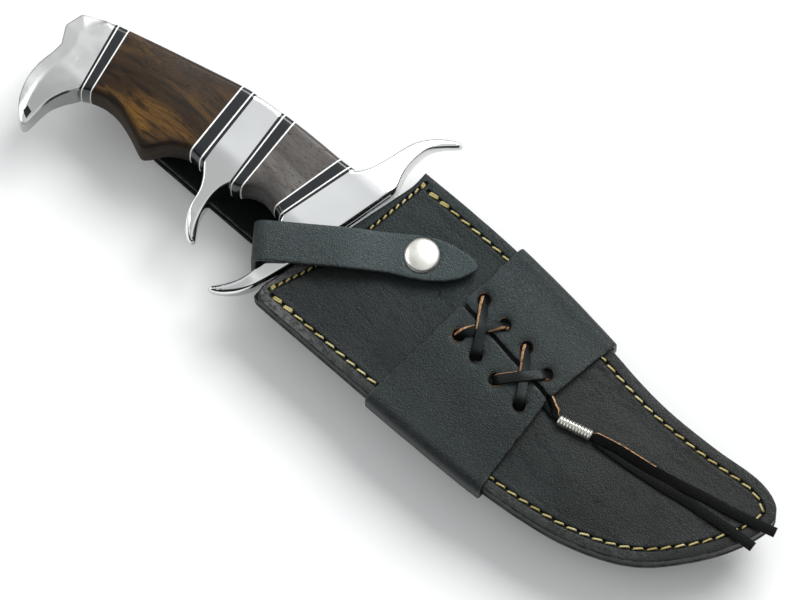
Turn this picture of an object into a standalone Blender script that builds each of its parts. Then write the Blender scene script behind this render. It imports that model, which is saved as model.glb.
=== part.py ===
"""A sub-hilt hunting knife in a black laced leather sheath, lying on its belt loop.

Frame: +X runs along the sheath from its mouth to its tip, +Y towards the spine of the blade and
+Z out of the sheath's front. The origin is on the outer face of the belt loop, under the middle
of the mouth. Dimensions are in millimetres and are turned into metres where a mesh is made.
"""

import math

import bmesh
import bpy
from mathutils import Matrix, Vector

MM = 0.001
GAP = 0.3

# Heights above the surface that the belt loop lies on
LEATHER = 2.8
BELT_GAP = 6.2
LOOP_INNER_Z = LEATHER + BELT_GAP
STRAP_T = 2.4
ROOT_Z = LOOP_INNER_Z + LEATHER + GAP
KNIFE_Z = 27.0
BLADE_T = 4.8
WELT_T = 5.4
WELT_Z = KNIFE_Z - WELT_T / 2
BACK_Z = WELT_Z - GAP - LEATHER
FRONT_Z = WELT_Z + WELT_T + GAP
FRONT_TOP = FRONT_Z + LEATHER

# Sheath: outline in plan, from the mouth's upper corner round the tip to its lower corner
SPINE_EDGE = [(9.4, 43.8), (34, 44.1), (60, 43.6), (88, 41.3), (117, 37.8), (135, 35.2), (153, 33.9), (176, 34.6),
              (192.3, 36.2), (202, 35.8), (209.6, 33.0), (213.3, 28.5)]
BELLY_EDGE = [(213.3, 28.5), (213.2, 23.5), (210.5, 14.5), (205.2, 3.8), (198.2, -6.3), (188.4, -17.6),
              (178.7, -25.2), (166.4, -31.2), (151.6, -36.0), (138.2, -38.5), (123.4, -40.3), (100, -41.9),
              (70, -42.4), (20, -42.3), (-9.6, -42.2)]
MOUTH_EDGE = [(-9.6, -42.2), (-9.4, -36.0), (-2.6, -10.0), (1.0, 4.0), (4.3, 17.0), (7.2, 28.0), (9.2, 36.5),
              (9.4, 43.8)]
MOUTH_CORNER_R = 5.0
STITCH_INSET = 5.4
WELT_W = 10.0
THREAD = 0.9
GROOVE_W = 1.7
GROOVE_DEPTH = 1.4
MOUTH_ROW = [(12.0, 37.6), (9.6, 22.0), (7.6, 9.0), (4.0, -6.0), (0.0, -20.0), (-3.4, -31.0)]

# Knife, seen flat
HANDLE_H = 11.5
HANDLE_R = 2.4
SPINE_LINE = [(-127.0, 5.9), (-121.6, 7.5), (-70.0, 20.7), (-64.2, 21.4), (-50.2, 22.8), (-44.1, 23.2),
              (-19.9, 23.8), (-12.9, 24.2)]
GRIP_LINE = [(-120.2, -24.4), (-116.0, -22.0), (-108.6, -19.9), (-99.8, -20.6), (-91.0, -23.4), (-84.2, -26.0),
             (-81.0, -22.6), (-77.2, -18.2), (-72.5, -15.0), (-68.5, -13.4), (-62.9, -13.7), (-47.4, -13.2),
             (-42.3, -11.3), (-39.6, -8.9), (-36.8, -7.7), (-34.1, -7.2), (-30.8, -7.4), (-26.8, -8.3),
             (-21.7, -10.0)]
# Each cut across the handle is a point on the spine line and one on the grip line, by their x
POMMEL_CUT = (-127.0, -120.2)
REAR_WOOD = ((-120.9, -115.6), (-70.5, -68.7))
SUB_GUARD = ((-63.7, -61.4), (-50.8, -47.6))
FRONT_WOOD = ((-43.9, -42.3), (-19.9, -26.9))
GUARD_CUT = (-12.9, -21.7)
SPACER_GAP = 0.06

# Tang, from the blade's shoulder to the nut in the pommel
TANG_FRONT = (0.0, 8.8)
TANG_BACK = (-131.2, -9.2)
TANG_W = (13.0, 4.4)
TANG_CLEAR = 0.4
NUT_R = 4.6
NUT_T = 4.5
WASHER_T = 1.2

# Retaining strap: in plan it runs from its snap back over the guard to a fold beside it
SNAP = (32.4, 15.3)
STRAP_ANGLE = 36.0
STRAP_W = 17.2
FOLD_S = -68.6
FOLD_LOW_Z = ROOT_Z + STRAP_T / 2
STRAP_OVER_Z = KNIFE_Z + HANDLE_H + 0.5
STRAP_SNAP_Z = FRONT_TOP + 3.6
FOLD_HIGH_Z = STRAP_OVER_Z + STRAP_T / 2
FOLD_CLEAR = 1.5
STRAP_END = [(-9.0, -9.2), (-4.0, -10.0), (2.0, -10.4), (8.3, -10.1), (16.4, -8.0), (21.8, -4.8), (23.6, -2.4),
             (22.0, 0.6), (17.0, 3.6), (10.9, 6.4), (4.0, 8.0), (-4.0, 8.6)]

# Lacing band round the sheath, and its holes on each side of the slit
BAND_X = (57.0, 110.9)
BAND_T = 2.2
BAND_LIFT = 1.9
SLIT = ((56.5, 11.8), (110.7, 4.8))
SLIT_W = 1.8
HOLE_R = 2.95
HOLES_A = [(63.7, 18.5), (76.9, 16.0), (90.0, 14.7), (103.7, 11.6)]
HOLES_B = [(65.6, 0.3), (76.8, -1.8), (89.1, -3.9), (103.7, -5.6)]
LACE_R = 0.8
LACE_LOW_Z = FRONT_TOP + GAP + LACE_R
BAND_TOP = FRONT_TOP + GAP + BAND_LIFT + BAND_T
LACE_HIGH_Z = BAND_TOP + GAP + LACE_R
FERRULE = ((119.8, 0.9), (134.1, 4.5))
FERRULE_SIZE = (2.65, 2.0)
FERRULE_BORE = (2.15, 1.15)

# Belt loop: one strip of leather folded back on itself
LOOP_Y = (-20.3, 17.0)
LOOP_FOLD_X = -81.5
LOOP_END_X = 50.0
LOOP_RIVETS = [(42.0, -10.0), (42.0, 7.0)]


def clear_scene():
    for obj in list(bpy.data.objects):
        bpy.data.objects.remove(obj, do_unlink=True)


def material(name, colour, roughness, metallic=0.0):
    mat = bpy.data.materials.new(name)
    mat.use_nodes = True
    shader = mat.node_tree.nodes["Principled BSDF"]
    shader.inputs["Base Color"].default_value = (*colour, 1.0)
    shader.inputs["Roughness"].default_value = roughness
    shader.inputs["Metallic"].default_value = metallic
    return mat


def black_leather(name):
    return material(name, (0.022, 0.024, 0.026), 0.55)


def polished_steel(name):
    return material(name, (0.78, 0.79, 0.80), 0.12, 1.0)


def stained_wood(name):
    return material(name, (0.16, 0.085, 0.035), 0.35)


def black_spacer(name):
    return material(name, (0.012, 0.014, 0.016), 0.25)


def white_spacer(name):
    return material(name, (0.85, 0.85, 0.82), 0.3)


def waxed_thread(name):
    return material(name, (0.62, 0.52, 0.16), 0.6)


def new_object(name, bm, mat):
    bmesh.ops.recalc_face_normals(bm, faces=bm.faces)
    for vert in bm.verts:
        vert.co *= MM
    mesh = bpy.data.meshes.new(name)
    bm.to_mesh(mesh)
    bm.free()
    obj = bpy.data.objects.new(name, mesh)
    bpy.context.scene.collection.objects.link(obj)
    if mat:
        mesh.materials.append(mat)
    return obj


def set_origin(obj, point):
    """Move the object's origin to a point in millimetres and leave its shape where it is."""
    offset = Vector(point) * MM
    obj.data.transform(Matrix.Translation(-offset))
    obj.location = offset


def cut(obj, cutter):
    cutter.hide_render = True
    cutter.display_type = "WIRE"
    mod = obj.modifiers.new(cutter.name, "BOOLEAN")
    mod.operation = "DIFFERENCE"
    mod.solver = "EXACT"
    mod.object = cutter


def smooth(points, steps):
    """A Catmull-Rom curve through the points, of any dimension, with steps segments in each gap."""
    pts = [Vector(p) for p in points]
    run = [2 * pts[0] - pts[1]] + pts + [2 * pts[-1] - pts[-2]]
    out = []
    for a, b, c, d in zip(run, run[1:], run[2:], run[3:]):
        for k in range(steps):
            t = k / steps
            out.append(0.5 * (2 * b + (c - a) * t + (2 * a - 5 * b + 4 * c - d) * t * t
                              + (3 * b - a - 3 * c + d) * t ** 3))
    return out + [pts[-1]]


def inset(points, distance):
    """Points moved sideways by distance, to the right of the direction that they run in."""
    out = []
    for i, p in enumerate(points):
        ahead = points[min(i + 1, len(points) - 1)] - points[max(i - 1, 0)]
        out.append(p + Vector((ahead.y, -ahead.x)).normalized() * distance)
    return out


def on_line(line, x):
    """The point of a line, given by points in order of x, that stands at x."""
    for a, b in zip(line, line[1:]):
        if a[0] <= x <= b[0]:
            t = (x - a[0]) / (b[0] - a[0])
            return Vector((x, a[1] + t * (b[1] - a[1])))
    end = line[0] if x < line[0][0] else line[-1]
    return Vector((x, end[1]))


def slab_mesh(outline, low, high):
    bm = bmesh.new()
    face = bm.faces.new([bm.verts.new((p[0], p[1], low)) for p in outline])
    top = bmesh.ops.extrude_face_region(bm, geom=[face])["geom"]
    verts = [g for g in top if isinstance(g, bmesh.types.BMVert)]
    bmesh.ops.translate(bm, verts=verts, vec=(0, 0, high - low))
    return bm


def slab(name, outline, low, high, mat):
    return new_object(name, slab_mesh(outline, low, high), mat)


def loft_mesh(sections):
    """A closed solid through sections that have the same number of points."""
    bm = bmesh.new()
    rings = [[bm.verts.new(p) for p in section] for section in sections]
    count = len(rings[0])
    for one, other in zip(rings, rings[1:]):
        for i in range(count):
            j = (i + 1) % count
            bm.faces.new((one[i], one[j], other[j], other[i]))
    bm.faces.new(rings[0])
    bm.faces.new(rings[-1])
    return bm


def turned(name, profile, centre, mat, sides=20):
    """A solid turned about a vertical axis from (radius, z) points, the first and last on the axis or a ring."""
    bm = bmesh.new()
    rings = []
    for radius, z in profile:
        if radius == 0:
            rings.append([bm.verts.new((centre[0], centre[1], z))])
            continue
        rings.append([bm.verts.new((centre[0] + radius * math.cos(2 * math.pi * k / sides),
                                    centre[1] + radius * math.sin(2 * math.pi * k / sides), z))
                      for k in range(sides)])
    closed = profile[0][0] > 0
    pairs = list(zip(rings, rings[1:] + (rings[:1] if closed else [])))
    for one, other in pairs[:len(rings) if closed else len(rings) - 1]:
        for k in range(sides):
            j = (k + 1) % sides
            ring = [one[k % len(one)], one[j % len(one)], other[j % len(other)], other[k % len(other)]]
            bm.faces.new(list(dict.fromkeys(ring)))
    return new_object(name, bm, mat)


def hole(obj, name, centre, radius, low, high, sides=16):
    cut(obj, turned(name, [(0, low), (radius, low), (radius, high), (0, high)], centre, None, sides))


def groove(obj, name, path, low, high):
    """Cut a channel of the thread's width along a path in plan."""
    half = GROOVE_W / 2
    left = inset(path, half)
    right = inset(path, -half)
    bm = bmesh.new()
    rings = [[bm.verts.new((a.x, a.y, low)), bm.verts.new((b.x, b.y, low)),
              bm.verts.new((b.x, b.y, high)), bm.verts.new((a.x, a.y, high))] for a, b in zip(left, right)]
    for one, other in zip(rings, rings[1:]):
        for i in range(4):
            j = (i + 1) % 4
            bm.faces.new((one[i], one[j], other[j], other[i]))
    bm.faces.new(rings[0])
    bm.faces.new(rings[-1])
    cut(obj, new_object(name, bm, None))


def cord(name, points, radius, mat, resolution):
    curve = bpy.data.curves.new(name, "CURVE")
    curve.dimensions = "3D"
    curve.bevel_depth = radius * MM
    curve.bevel_resolution = resolution
    curve.use_fill_caps = True
    spline = curve.splines.new("POLY")
    spline.points.add(len(points) - 1)
    for point, place in zip(spline.points, points):
        point.co = (*(Vector(place) * MM), 1.0)
    curve.materials.append(mat)
    obj = bpy.data.objects.new(name, curve)
    bpy.context.scene.collection.objects.link(obj)
    return obj


# Handle


def grip_section(x_spine, x_grip, half=HANDLE_H, radius=HANDLE_R, steps=2):
    """A rounded rectangle across the handle, between a point on its spine and one on its grip side."""
    top = on_line(SPINE_LINE, x_spine)
    low = on_line(GRIP_LINE, x_grip)
    across = (low - top).normalized()
    out = []
    for end, inward, side in ((top, 1, 1), (low, -1, 1), (low, -1, -1), (top, 1, -1)):
        arc = []
        for k in range(steps + 1):
            turn = math.pi / 2 * k / steps
            p = end + across * inward * radius * (1 - math.cos(turn))
            arc.append((p.x, p.y, KNIFE_Z + side * (half - radius + radius * math.sin(turn))))
        out += arc if side * inward > 0 else arc[::-1]
    return out


def tang_cutter(name, x0, x1, extra=TANG_CLEAR):
    """A bar a little larger than the tang, between two places along the handle."""
    bm = loft_mesh([tang_section(x, extra) for x in (x0, x1)])
    return new_object(name, bm, None)


def tang_point(x):
    t = (x - TANG_FRONT[0]) / (TANG_BACK[0] - TANG_FRONT[0])
    y = TANG_FRONT[1] + t * (TANG_BACK[1] - TANG_FRONT[1])
    return y, (TANG_W[0] + t * (TANG_W[1] - TANG_W[0])) / 2


def tang_section(x, extra=0.0):
    y, half = tang_point(x)
    h = BLADE_T / 2 + extra
    half += extra
    return [(x, y + half, KNIFE_Z + h), (x, y - half, KNIFE_Z + h), (x, y - half, KNIFE_Z - h),
            (x, y + half, KNIFE_Z - h)]


def grip_piece(name, start, end, mat, stations=2):
    """A piece of the handle between two cuts, drilled through for the tang."""
    sections = []
    for k in range(stations):
        t = k / (stations - 1)
        sections.append(grip_section(start[0] + t * (end[0] - start[0]), start[1] + t * (end[1] - start[1])))
    obj = new_object(name, loft_mesh(sections), mat)
    cut(obj, tang_cutter(name + "_tang_hole", min(start) - 12, max(end) + 12))
    return obj


def wood_piece(name, start, end, mat):
    """A wooden grip, with a section at each bend of the grip line."""
    bends = [p[0] for p in GRIP_LINE if start[1] + 0.8 < p[0] < end[1] - 0.8]
    places = [start[1]] + bends + [end[1]]
    sections = []
    for x in places:
        t = (x - start[1]) / (end[1] - start[1])
        sections.append(grip_section(start[0] + t * (end[0] - start[0]), x))
    obj = new_object(name, loft_mesh(sections), mat)
    cut(obj, tang_cutter(name + "_tang_hole", min(start) - 12, max(end) + 12))
    return obj


def spacer_stack(name, start, end, layers):
    """Thin discs between two cuts; layers are (label, share of the stack's length, material function)."""
    whole = sum(layer[1] for layer in layers)
    done = 0.0
    for label, share, make in layers:
        ends = []
        for t in (done / whole, (done + share) / whole):
            ends.append([start[0] + t * (end[0] - start[0]), start[1] + t * (end[1] - start[1])])
        for i in (0, 1):
            ends[0][i] += SPACER_GAP
            ends[1][i] -= SPACER_GAP
        full = f"{name}_{label}"
        grip_piece(full, ends[0], ends[1], make(full))
        done += share


def spacers():
    thin_black = ("thin_black_spacer", 1.2, black_spacer)
    thick_black = ("thick_black_spacer", 3.6, black_spacer)
    rear_white = ("rear_white_spacer", 0.9, white_spacer)
    fore_white = ("fore_white_spacer", 0.9, white_spacer)
    spacer_stack("pommel", POMMEL_CUT, REAR_WOOD[0], [thin_black, rear_white, thick_black, fore_white])
    spacer_stack("rear_grip", REAR_WOOD[1], SUB_GUARD[0], [rear_white, thick_black, fore_white, thin_black])
    spacer_stack("sub_guard", SUB_GUARD[1], FRONT_WOOD[0], [thin_black, rear_white, thick_black, fore_white])
    spacer_stack("guard", FRONT_WOOD[1], GUARD_CUT, [rear_white, thick_black, fore_white, thin_black])


def woods():
    wood_piece("rear_wood_grip", REAR_WOOD[0], REAR_WOOD[1], stained_wood("rear_wood_grip"))
    wood_piece("front_wood_grip", FRONT_WOOD[0], FRONT_WOOD[1], stained_wood("front_wood_grip"))


def cast_piece(name, outline, flats, thickness, bevel, mat):
    """A metal fitting cut from plate: its rims are rounded except on flats, and thickness(x, y) thins it.

    flats are pairs of outline points whose edge stays square, where a neighbour sits against it.
    """
    bm = slab_mesh(outline, -HANDLE_H, HANDLE_H)
    square = [{tuple(round(c, 3) for c in p[:2]) for p in pair} for pair in flats]
    rims = []
    for edge in bm.edges:
        a, b = edge.verts
        if abs(a.co.z - b.co.z) > 0.001:
            continue
        ends = {tuple(round(c, 3) for c in v.co[:2]) for v in (a, b)}
        if ends not in square:
            rims.append(edge)
    bmesh.ops.bevel(bm, geom=rims, offset=bevel, segments=2, profile=0.5, affect="EDGES")
    low = math.floor(min(p[1] for p in outline) / 6)
    high = math.ceil(max(p[1] for p in outline) / 6)
    for k in range(low, high):
        everything = list(bm.verts) + list(bm.edges) + list(bm.faces)
        bmesh.ops.bisect_plane(bm, geom=everything, dist=0.001, plane_co=(0, 6 * k + 0.37, 0), plane_no=(0, 1, 0))
    bmesh.ops.triangulate(bm, faces=[f for f in bm.faces if len(f.verts) > 4])
    for vert in bm.verts:
        vert.co.z = KNIFE_Z + vert.co.z * thickness(vert.co.x, vert.co.y)
    return new_object(name, bm, mat)


def ease(value, low, high):
    t = min(1.0, max(0.0, (value - low) / (high - low)))
    return t * t * (3 - 2 * t)


def guard():
    top = on_line(SPINE_LINE, GUARD_CUT[0] + SPACER_GAP)
    low = on_line(GRIP_LINE, GUARD_CUT[1] + SPACER_GAP)
    upper = smooth([(-10.9, 26.0), (-8.6, 28.8), (-6.9, 33.3), (-5.3, 39.2), (-4.0, 45.5), (-2.6, 50.6), (-0.4, 54.6),
                    (2.6, 57.8), (6.8, 60.6), (11.2, 61.9), (11.6, 60.9), (7.4, 57.4), (4.3, 52.3), (2.9, 46.9),
                    (2.6, 40.9), (3.5, 36.0), (5.0, 31.4), (5.3, 29.0)], 2)
    lower = smooth([(-6.9, -23.4), (-8.9, -29.3), (-10.6, -34.6), (-12.2, -39.6), (-14.6, -44.2), (-17.6, -47.6),
                    (-21.0, -49.7), (-24.0, -50.4), (-24.2, -49.6), (-21.5, -46.6), (-19.2, -43.0), (-17.6, -39.2),
                    (-16.6, -34.8), (-15.8, -30.0), (-16.4, -24.4), (-18.4, -18.4), (-20.6, -13.6)], 2)
    outline = [tuple(top)] + [tuple(p) for p in upper] + [tuple(p) for p in lower] + [tuple(low)]

    def thickness(x, y):
        up = 1 - 0.42 * ease(y, 26, 40) - 0.26 * ease(y, 48, 62)
        down = 1 - 0.46 * ease(-y, 12, 32) - 0.22 * ease(-y, 38, 51)
        return up * down

    face = (outline[len(upper)], outline[len(upper) + 1])
    obj = cast_piece("guard", outline, [(outline[0], outline[-1]), face], thickness, 1.0, polished_steel("guard"))
    cut(obj, tang_cutter("guard_tang_hole", -30, 14))


def sub_guard():
    ends = []
    for spot, shift in ((SUB_GUARD[0], SPACER_GAP), (SUB_GUARD[1], -SPACER_GAP)):
        ends.append((on_line(SPINE_LINE, spot[0] + shift), on_line(GRIP_LINE, spot[1] + shift)))
    (top_a, low_a), (top_b, low_b) = ends
    hook = smooth([(-49.3, -17.6), (-49.9, -21.8), (-49.5, -26.3), (-48.4, -30.6), (-46.5, -34.6), (-43.9, -38.6),
                   (-43.4, -40.9), (-45.8, -41.2), (-49.0, -38.4), (-52.0, -34.0), (-53.9, -29.6), (-54.9, -25.0),
                   (-56.0, -21.6), (-58.4, -17.6), (-60.0, -15.6)], 2)
    outline = [tuple(top_a), tuple(top_b), tuple(low_b)] + [tuple(p) for p in hook] + [tuple(low_a)]
    flats = [(outline[1], outline[2]), (outline[0], outline[-1])]

    def thickness(x, y):
        return 1 - 0.46 * ease(-y, 14, 30) - 0.24 * ease(-y, 32, 42)

    obj = cast_piece("sub_guard", outline, flats, thickness, 1.4, polished_steel("sub_guard"))
    cut(obj, tang_cutter("sub_guard_tang_hole", -76, -34))


def pommel():
    top = on_line(SPINE_LINE, POMMEL_CUT[0] - SPACER_GAP)
    low = on_line(GRIP_LINE, POMMEL_CUT[1] - SPACER_GAP)
    beak = smooth([(-124.0, -30.2), (-126.2, -35.6), (-127.0, -41.6), (-127.1, -46.2), (-128.7, -49.6),
                   (-132.8, -47.2), (-136.8, -42.6), (-139.3, -35.4), (-139.9, -27.6), (-139.1, -20.2)], 2)
    outline = [tuple(low)] + [tuple(p) for p in beak] + [(-138.7, -13.8), (-141.9, -7.9), (-140.1, 0.6), tuple(top)]

    def thickness(x, y):
        return 1 - 0.36 * ease(-y, 26, 49)

    obj = cast_piece("pommel", outline, [(outline[0], outline[-1])], thickness, 1.4, polished_steel("pommel"))
    cut(obj, tang_cutter("pommel_tang_hole", -131.9, -110, 0.5))
    y = tang_point(-126.0)[0]
    cut(obj, handle_bar("pommel_nut_pocket", (-131.6, y - 0.5), (-117.0, y + 1.4), NUT_R + 0.6, NUT_R + 0.6))
    recess = [(-132.1, -43.0), (-129.1, -44.0), (-128.8, -47.6), (-132.1, -45.8)]
    cut(obj, slab("pommel_lozenge_recess", recess, KNIFE_Z + 6.6, KNIFE_Z + HANDLE_H + 3, None))
    hole(obj, "pommel_pin_hole", PIN_SPOT, PIN_R + GAP, KNIFE_Z - 20, KNIFE_Z + 20)


def handle_bar(name, start, end, half_w, half_h):
    """A bar between two places along the handle, for cutting."""
    run = Vector(end) - Vector(start)
    side = Vector((-run.y, run.x)).normalized() * half_w
    sections = []
    for p in (Vector(start), Vector(end)):
        sections.append([(*(p + side), KNIFE_Z - half_h), (*(p - side), KNIFE_Z - half_h),
                         (*(p - side), KNIFE_Z + half_h), (*(p + side), KNIFE_Z + half_h)])
    return new_object(name, loft_mesh(sections), None)


PIN_SPOT = (-129.2, -15.4)
PIN_R = 1.3


def along_tang(name, x, length, outer, inner, mat, sides):
    """A ring round the tang, such as its nut or washer."""
    y = tang_point(x)[0]
    run = Vector((TANG_BACK[0] - TANG_FRONT[0], TANG_BACK[1] - TANG_FRONT[1])).normalized()
    side = Vector((-run.y, run.x, 0))
    up = Vector((0, 0, 1))
    bm = bmesh.new()
    rings = []
    for radius, back in ((outer, 0), (outer, length), (inner, length), (inner, 0)):
        centre = Vector((x, y, KNIFE_Z)) + Vector((*run, 0)) * back
        rings.append([bm.verts.new(centre + (side * math.cos(a) + up * math.sin(a)) * radius)
                      for a in (2 * math.pi * k / sides for k in range(sides))])
    for i in range(4):
        one, other = rings[i], rings[(i + 1) % 4]
        for k in range(sides):
            j = (k + 1) % sides
            bm.faces.new((one[k], one[j], other[j], other[k]))
    return new_object(name, bm, mat)


# Blade


def blade_lines(x):
    """Spine, edge and half thickness of the blade at x."""
    spine = on_line(BLADE_SPINE, x).y
    edge = on_line(BLADE_EDGE, x).y
    return spine, edge, BLADE_T / 2 * (1 - 0.72 * ease(x, 120, 200))


BLADE_SPINE = [(5.6, 27.6), (90, 27.0), (120, 25.6), (150, 23.0), (170, 22.0), (185, 22.2), (200, 23.8)]
BLADE_EDGE = [(-4.0, -13.0), (8, -14.4), (100, -14.4), (125, -13.2), (145, -10.4), (160, -6.2), (172, -1.0),
              (182, 4.8), (191, 12.4), (200, 23.2)]


def blade():
    half = BLADE_T / 2
    front = [(2.4, 15.3, KNIFE_Z + half), (-0.6, 2.3, KNIFE_Z + half), (-0.6, 2.3, KNIFE_Z - half),
             (2.4, 15.3, KNIFE_Z - half)]
    sections = [[Vector(p) for p in section] for section in (tang_section(TANG_BACK[0]), front)]
    sections = [[s[0], s[0].lerp(s[1], 0.5), s[1], s[2], s[2].lerp(s[3], 0.5), s[3]] for s in sections]
    shoulder = [((5.3, 27.6), (-4.1, -13.0)), ((12.0, 27.6), (9.0, -14.4))]
    stations = [(a, b, 1.0) for a, b in shoulder]
    for x in (18, 60, 100, 125, 145, 160, 172, 182, 191, 199.4):
        spine, edge, _ = blade_lines(x)
        stations.append(((x, spine), (x, edge), 0.08))
    for top, low, edge_share in stations:
        half = blade_lines(top[0])[2]
        top, low = Vector(top), Vector(low)
        grind = top.lerp(low, 0.46)
        fine = max(0.2, half * edge_share)
        sections.append([(*top, KNIFE_Z + half), (*grind, KNIFE_Z + half), (*low, KNIFE_Z + fine),
                         (*low, KNIFE_Z - fine), (*grind, KNIFE_Z - half), (*top, KNIFE_Z - half)])
    new_object("blade", loft_mesh(sections), polished_steel("blade"))


def tang_fittings():
    x = -124.4
    along_tang("tang_washer", x, WASHER_T, NUT_R, 3.9, polished_steel("tang_washer"), 16)
    along_tang("tang_nut", x - WASHER_T - GAP, NUT_T, NUT_R, 3.9, polished_steel("tang_nut"), 6)
    turned("pommel_pin", [(0, KNIFE_Z - 10.6), (PIN_R, KNIFE_Z - 10.6), (PIN_R, KNIFE_Z + 10.6), (0, KNIFE_Z + 10.6)],
           PIN_SPOT, polished_steel("pommel_pin"), 12)


# Sheath


def sheath_runs(steps=2):
    return smooth(SPINE_EDGE, steps), smooth(BELLY_EDGE, steps), smooth(MOUTH_EDGE, steps)


def sheath_outline(corner=0.0):
    spine, belly, mouth = sheath_runs()
    if corner:
        pivot = mouth[0]
        belly = [p for p in belly if (p - pivot).length > corner]
        mouth = [p for p in mouth if (p - pivot).length > corner]
        bend = Vector((pivot.x + corner * 0.32, pivot.y + corner * 0.32))
        return spine[:-1] + belly + [bend] + mouth[:-1]
    return spine[:-1] + belly[:-1] + mouth[:-1]


def inner_run(run, distance):
    """The run of an edge moved inwards, without the points that a tight bend would fold over."""
    moved = inset(run, distance)
    return [p for p in moved if min((p - q).length for q in run) > distance - 0.25]


def stitch_path():
    spine, belly, _ = sheath_runs()
    run = inner_run(spine[:-1] + belly, STITCH_INSET)
    return [p for p in run if p.x > 15.2 or p.y < 0][:-1] + [Vector((-3.6, -36.8))]


def front_panel():
    obj = slab("front_panel", sheath_outline(MOUTH_CORNER_R), FRONT_Z, FRONT_TOP, black_leather("front_panel"))
    groove(obj, "front_panel_rim_groove", stitch_path(), FRONT_TOP - GROOVE_DEPTH, FRONT_TOP + 1)
    groove(obj, "front_panel_mouth_groove", smooth(MOUTH_ROW, 1), FRONT_TOP - GROOVE_DEPTH, FRONT_TOP + 1)
    hole(obj, "front_panel_snap_hole", SNAP, 2.2, FRONT_Z - 1, FRONT_TOP + 1)
    hole(obj, "front_panel_snap_recess", SNAP, 5.0, FRONT_Z - 1, FRONT_Z + 0.9)


def back_panel():
    top = BACK_Z + LEATHER
    obj = slab("back_panel", sheath_outline(), BACK_Z, top, black_leather("back_panel"))
    groove(obj, "back_panel_rim_groove", stitch_path(), BACK_Z - 1, BACK_Z + GROOVE_DEPTH)
    for k, spot in enumerate(LOOP_RIVETS):
        hole(obj, f"back_panel_rivet_hole_{k}", spot, 2.2, BACK_Z - 1, top + 1)
        hole(obj, f"back_panel_rivet_recess_{k}", spot, 4.8, top - 0.9, top + 1)


def welt():
    spine, belly, _ = sheath_runs()
    run = spine[:-1] + belly
    outline = run + inner_run(run, WELT_W)[::-1]
    slab("welt", outline, WELT_Z, WELT_Z + WELT_T, black_leather("welt"))


def threads():
    z = FRONT_TOP - GROOVE_DEPTH + GAP + THREAD / 2
    low = BACK_Z + GROOVE_DEPTH - GAP - THREAD / 2
    rim = stitch_path()
    rows = (("rim_stitching_front", rim, z), ("rim_stitching_back", rim, low),
            ("mouth_stitching", smooth(MOUTH_ROW, 1), z))
    for name, path, height in rows:
        run = [(*p, height) for p in path]
        first = Vector(run[0]) + (Vector(run[1]) - Vector(run[0])).normalized() * GAP
        last = Vector(run[-1]) + (Vector(run[-2]) - Vector(run[-1])).normalized() * GAP
        cord(name, [first] + run[1:-1] + [last], THREAD / 2, waxed_thread(name), 0)


# Belt loop


def strip(name, path, low_y, high_y, thickness, mat):
    """A flat strip that keeps its width in y and follows a path in x and z."""
    pts = [Vector(p) for p in path]
    sections = []
    for i, p in enumerate(pts):
        ahead = pts[min(i + 1, len(pts) - 1)] - pts[max(i - 1, 0)]
        side = Vector((-ahead.y, ahead.x)).normalized() * thickness / 2
        a, b = p + side, p - side
        sections.append([(a.x, low_y, a.y), (a.x, high_y, a.y), (b.x, high_y, b.y), (b.x, low_y, b.y)])
    return new_object(name, loft_mesh(sections), mat)


def belt_loop():
    half = LEATHER / 2
    inner_z = LOOP_INNER_Z + half
    seat = BACK_Z - GAP - half
    path = [(LOOP_END_X, seat), (36, seat), (30, seat - 0.8), (16, inner_z + 0.8), (10, inner_z), (-40, inner_z),
            (LOOP_FOLD_X, inner_z)]
    radius = (inner_z - half) / 2
    for k in range(1, 8):
        turn = math.pi * k / 8
        path.append((LOOP_FOLD_X - radius * math.sin(turn), half + radius + radius * math.cos(turn)))
    outer_seat = seat - LEATHER - GAP
    path += [(LOOP_FOLD_X, half), (-40, half), (21, half), (24, half + 1.0), (34, outer_seat - 1.0), (37, outer_seat),
             (LOOP_END_X, outer_seat)]
    obj = strip("belt_loop", path, LOOP_Y[0], LOOP_Y[1], LEATHER, black_leather("belt_loop"))
    low = outer_seat - half
    for k, spot in enumerate(LOOP_RIVETS):
        hole(obj, f"belt_loop_rivet_hole_{k}", spot, 2.2, low - 2, seat + half + 1)
        top = BACK_Z + LEATHER - 0.9 + GAP
        profile = [(0, low - 1.3), (4.0, low - 1.1), (4.4, low - GAP), (1.9, low - GAP), (1.9, top), (4.4, top),
                   (4.4, top + 0.45), (0, top + 0.45)]
        turned(f"belt_loop_rivet_{k + 1}", profile, spot, polished_steel(f"belt_loop_rivet_{k + 1}"))
    spot = strap_point(ROOT_RIVET_S, 0)
    hole(obj, "belt_loop_strap_hole", spot, 2.2, LOOP_INNER_Z - 0.5, LOOP_INNER_Z + LEATHER + 0.5)


# Retaining strap

ROOT_RIVET_S = -45.0
ROOT_END_S = -34.0


def strap_point(s, t):
    """A place in plan on the strap: s from the snap towards its tip, t to the left of that direction."""
    a = math.radians(STRAP_ANGLE)
    return (SNAP[0] + s * math.cos(a) - t * math.sin(a), SNAP[1] + s * math.sin(a) + t * math.cos(a))


def strap_outline(points):
    return [strap_point(s, t) for s, t in points]


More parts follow.
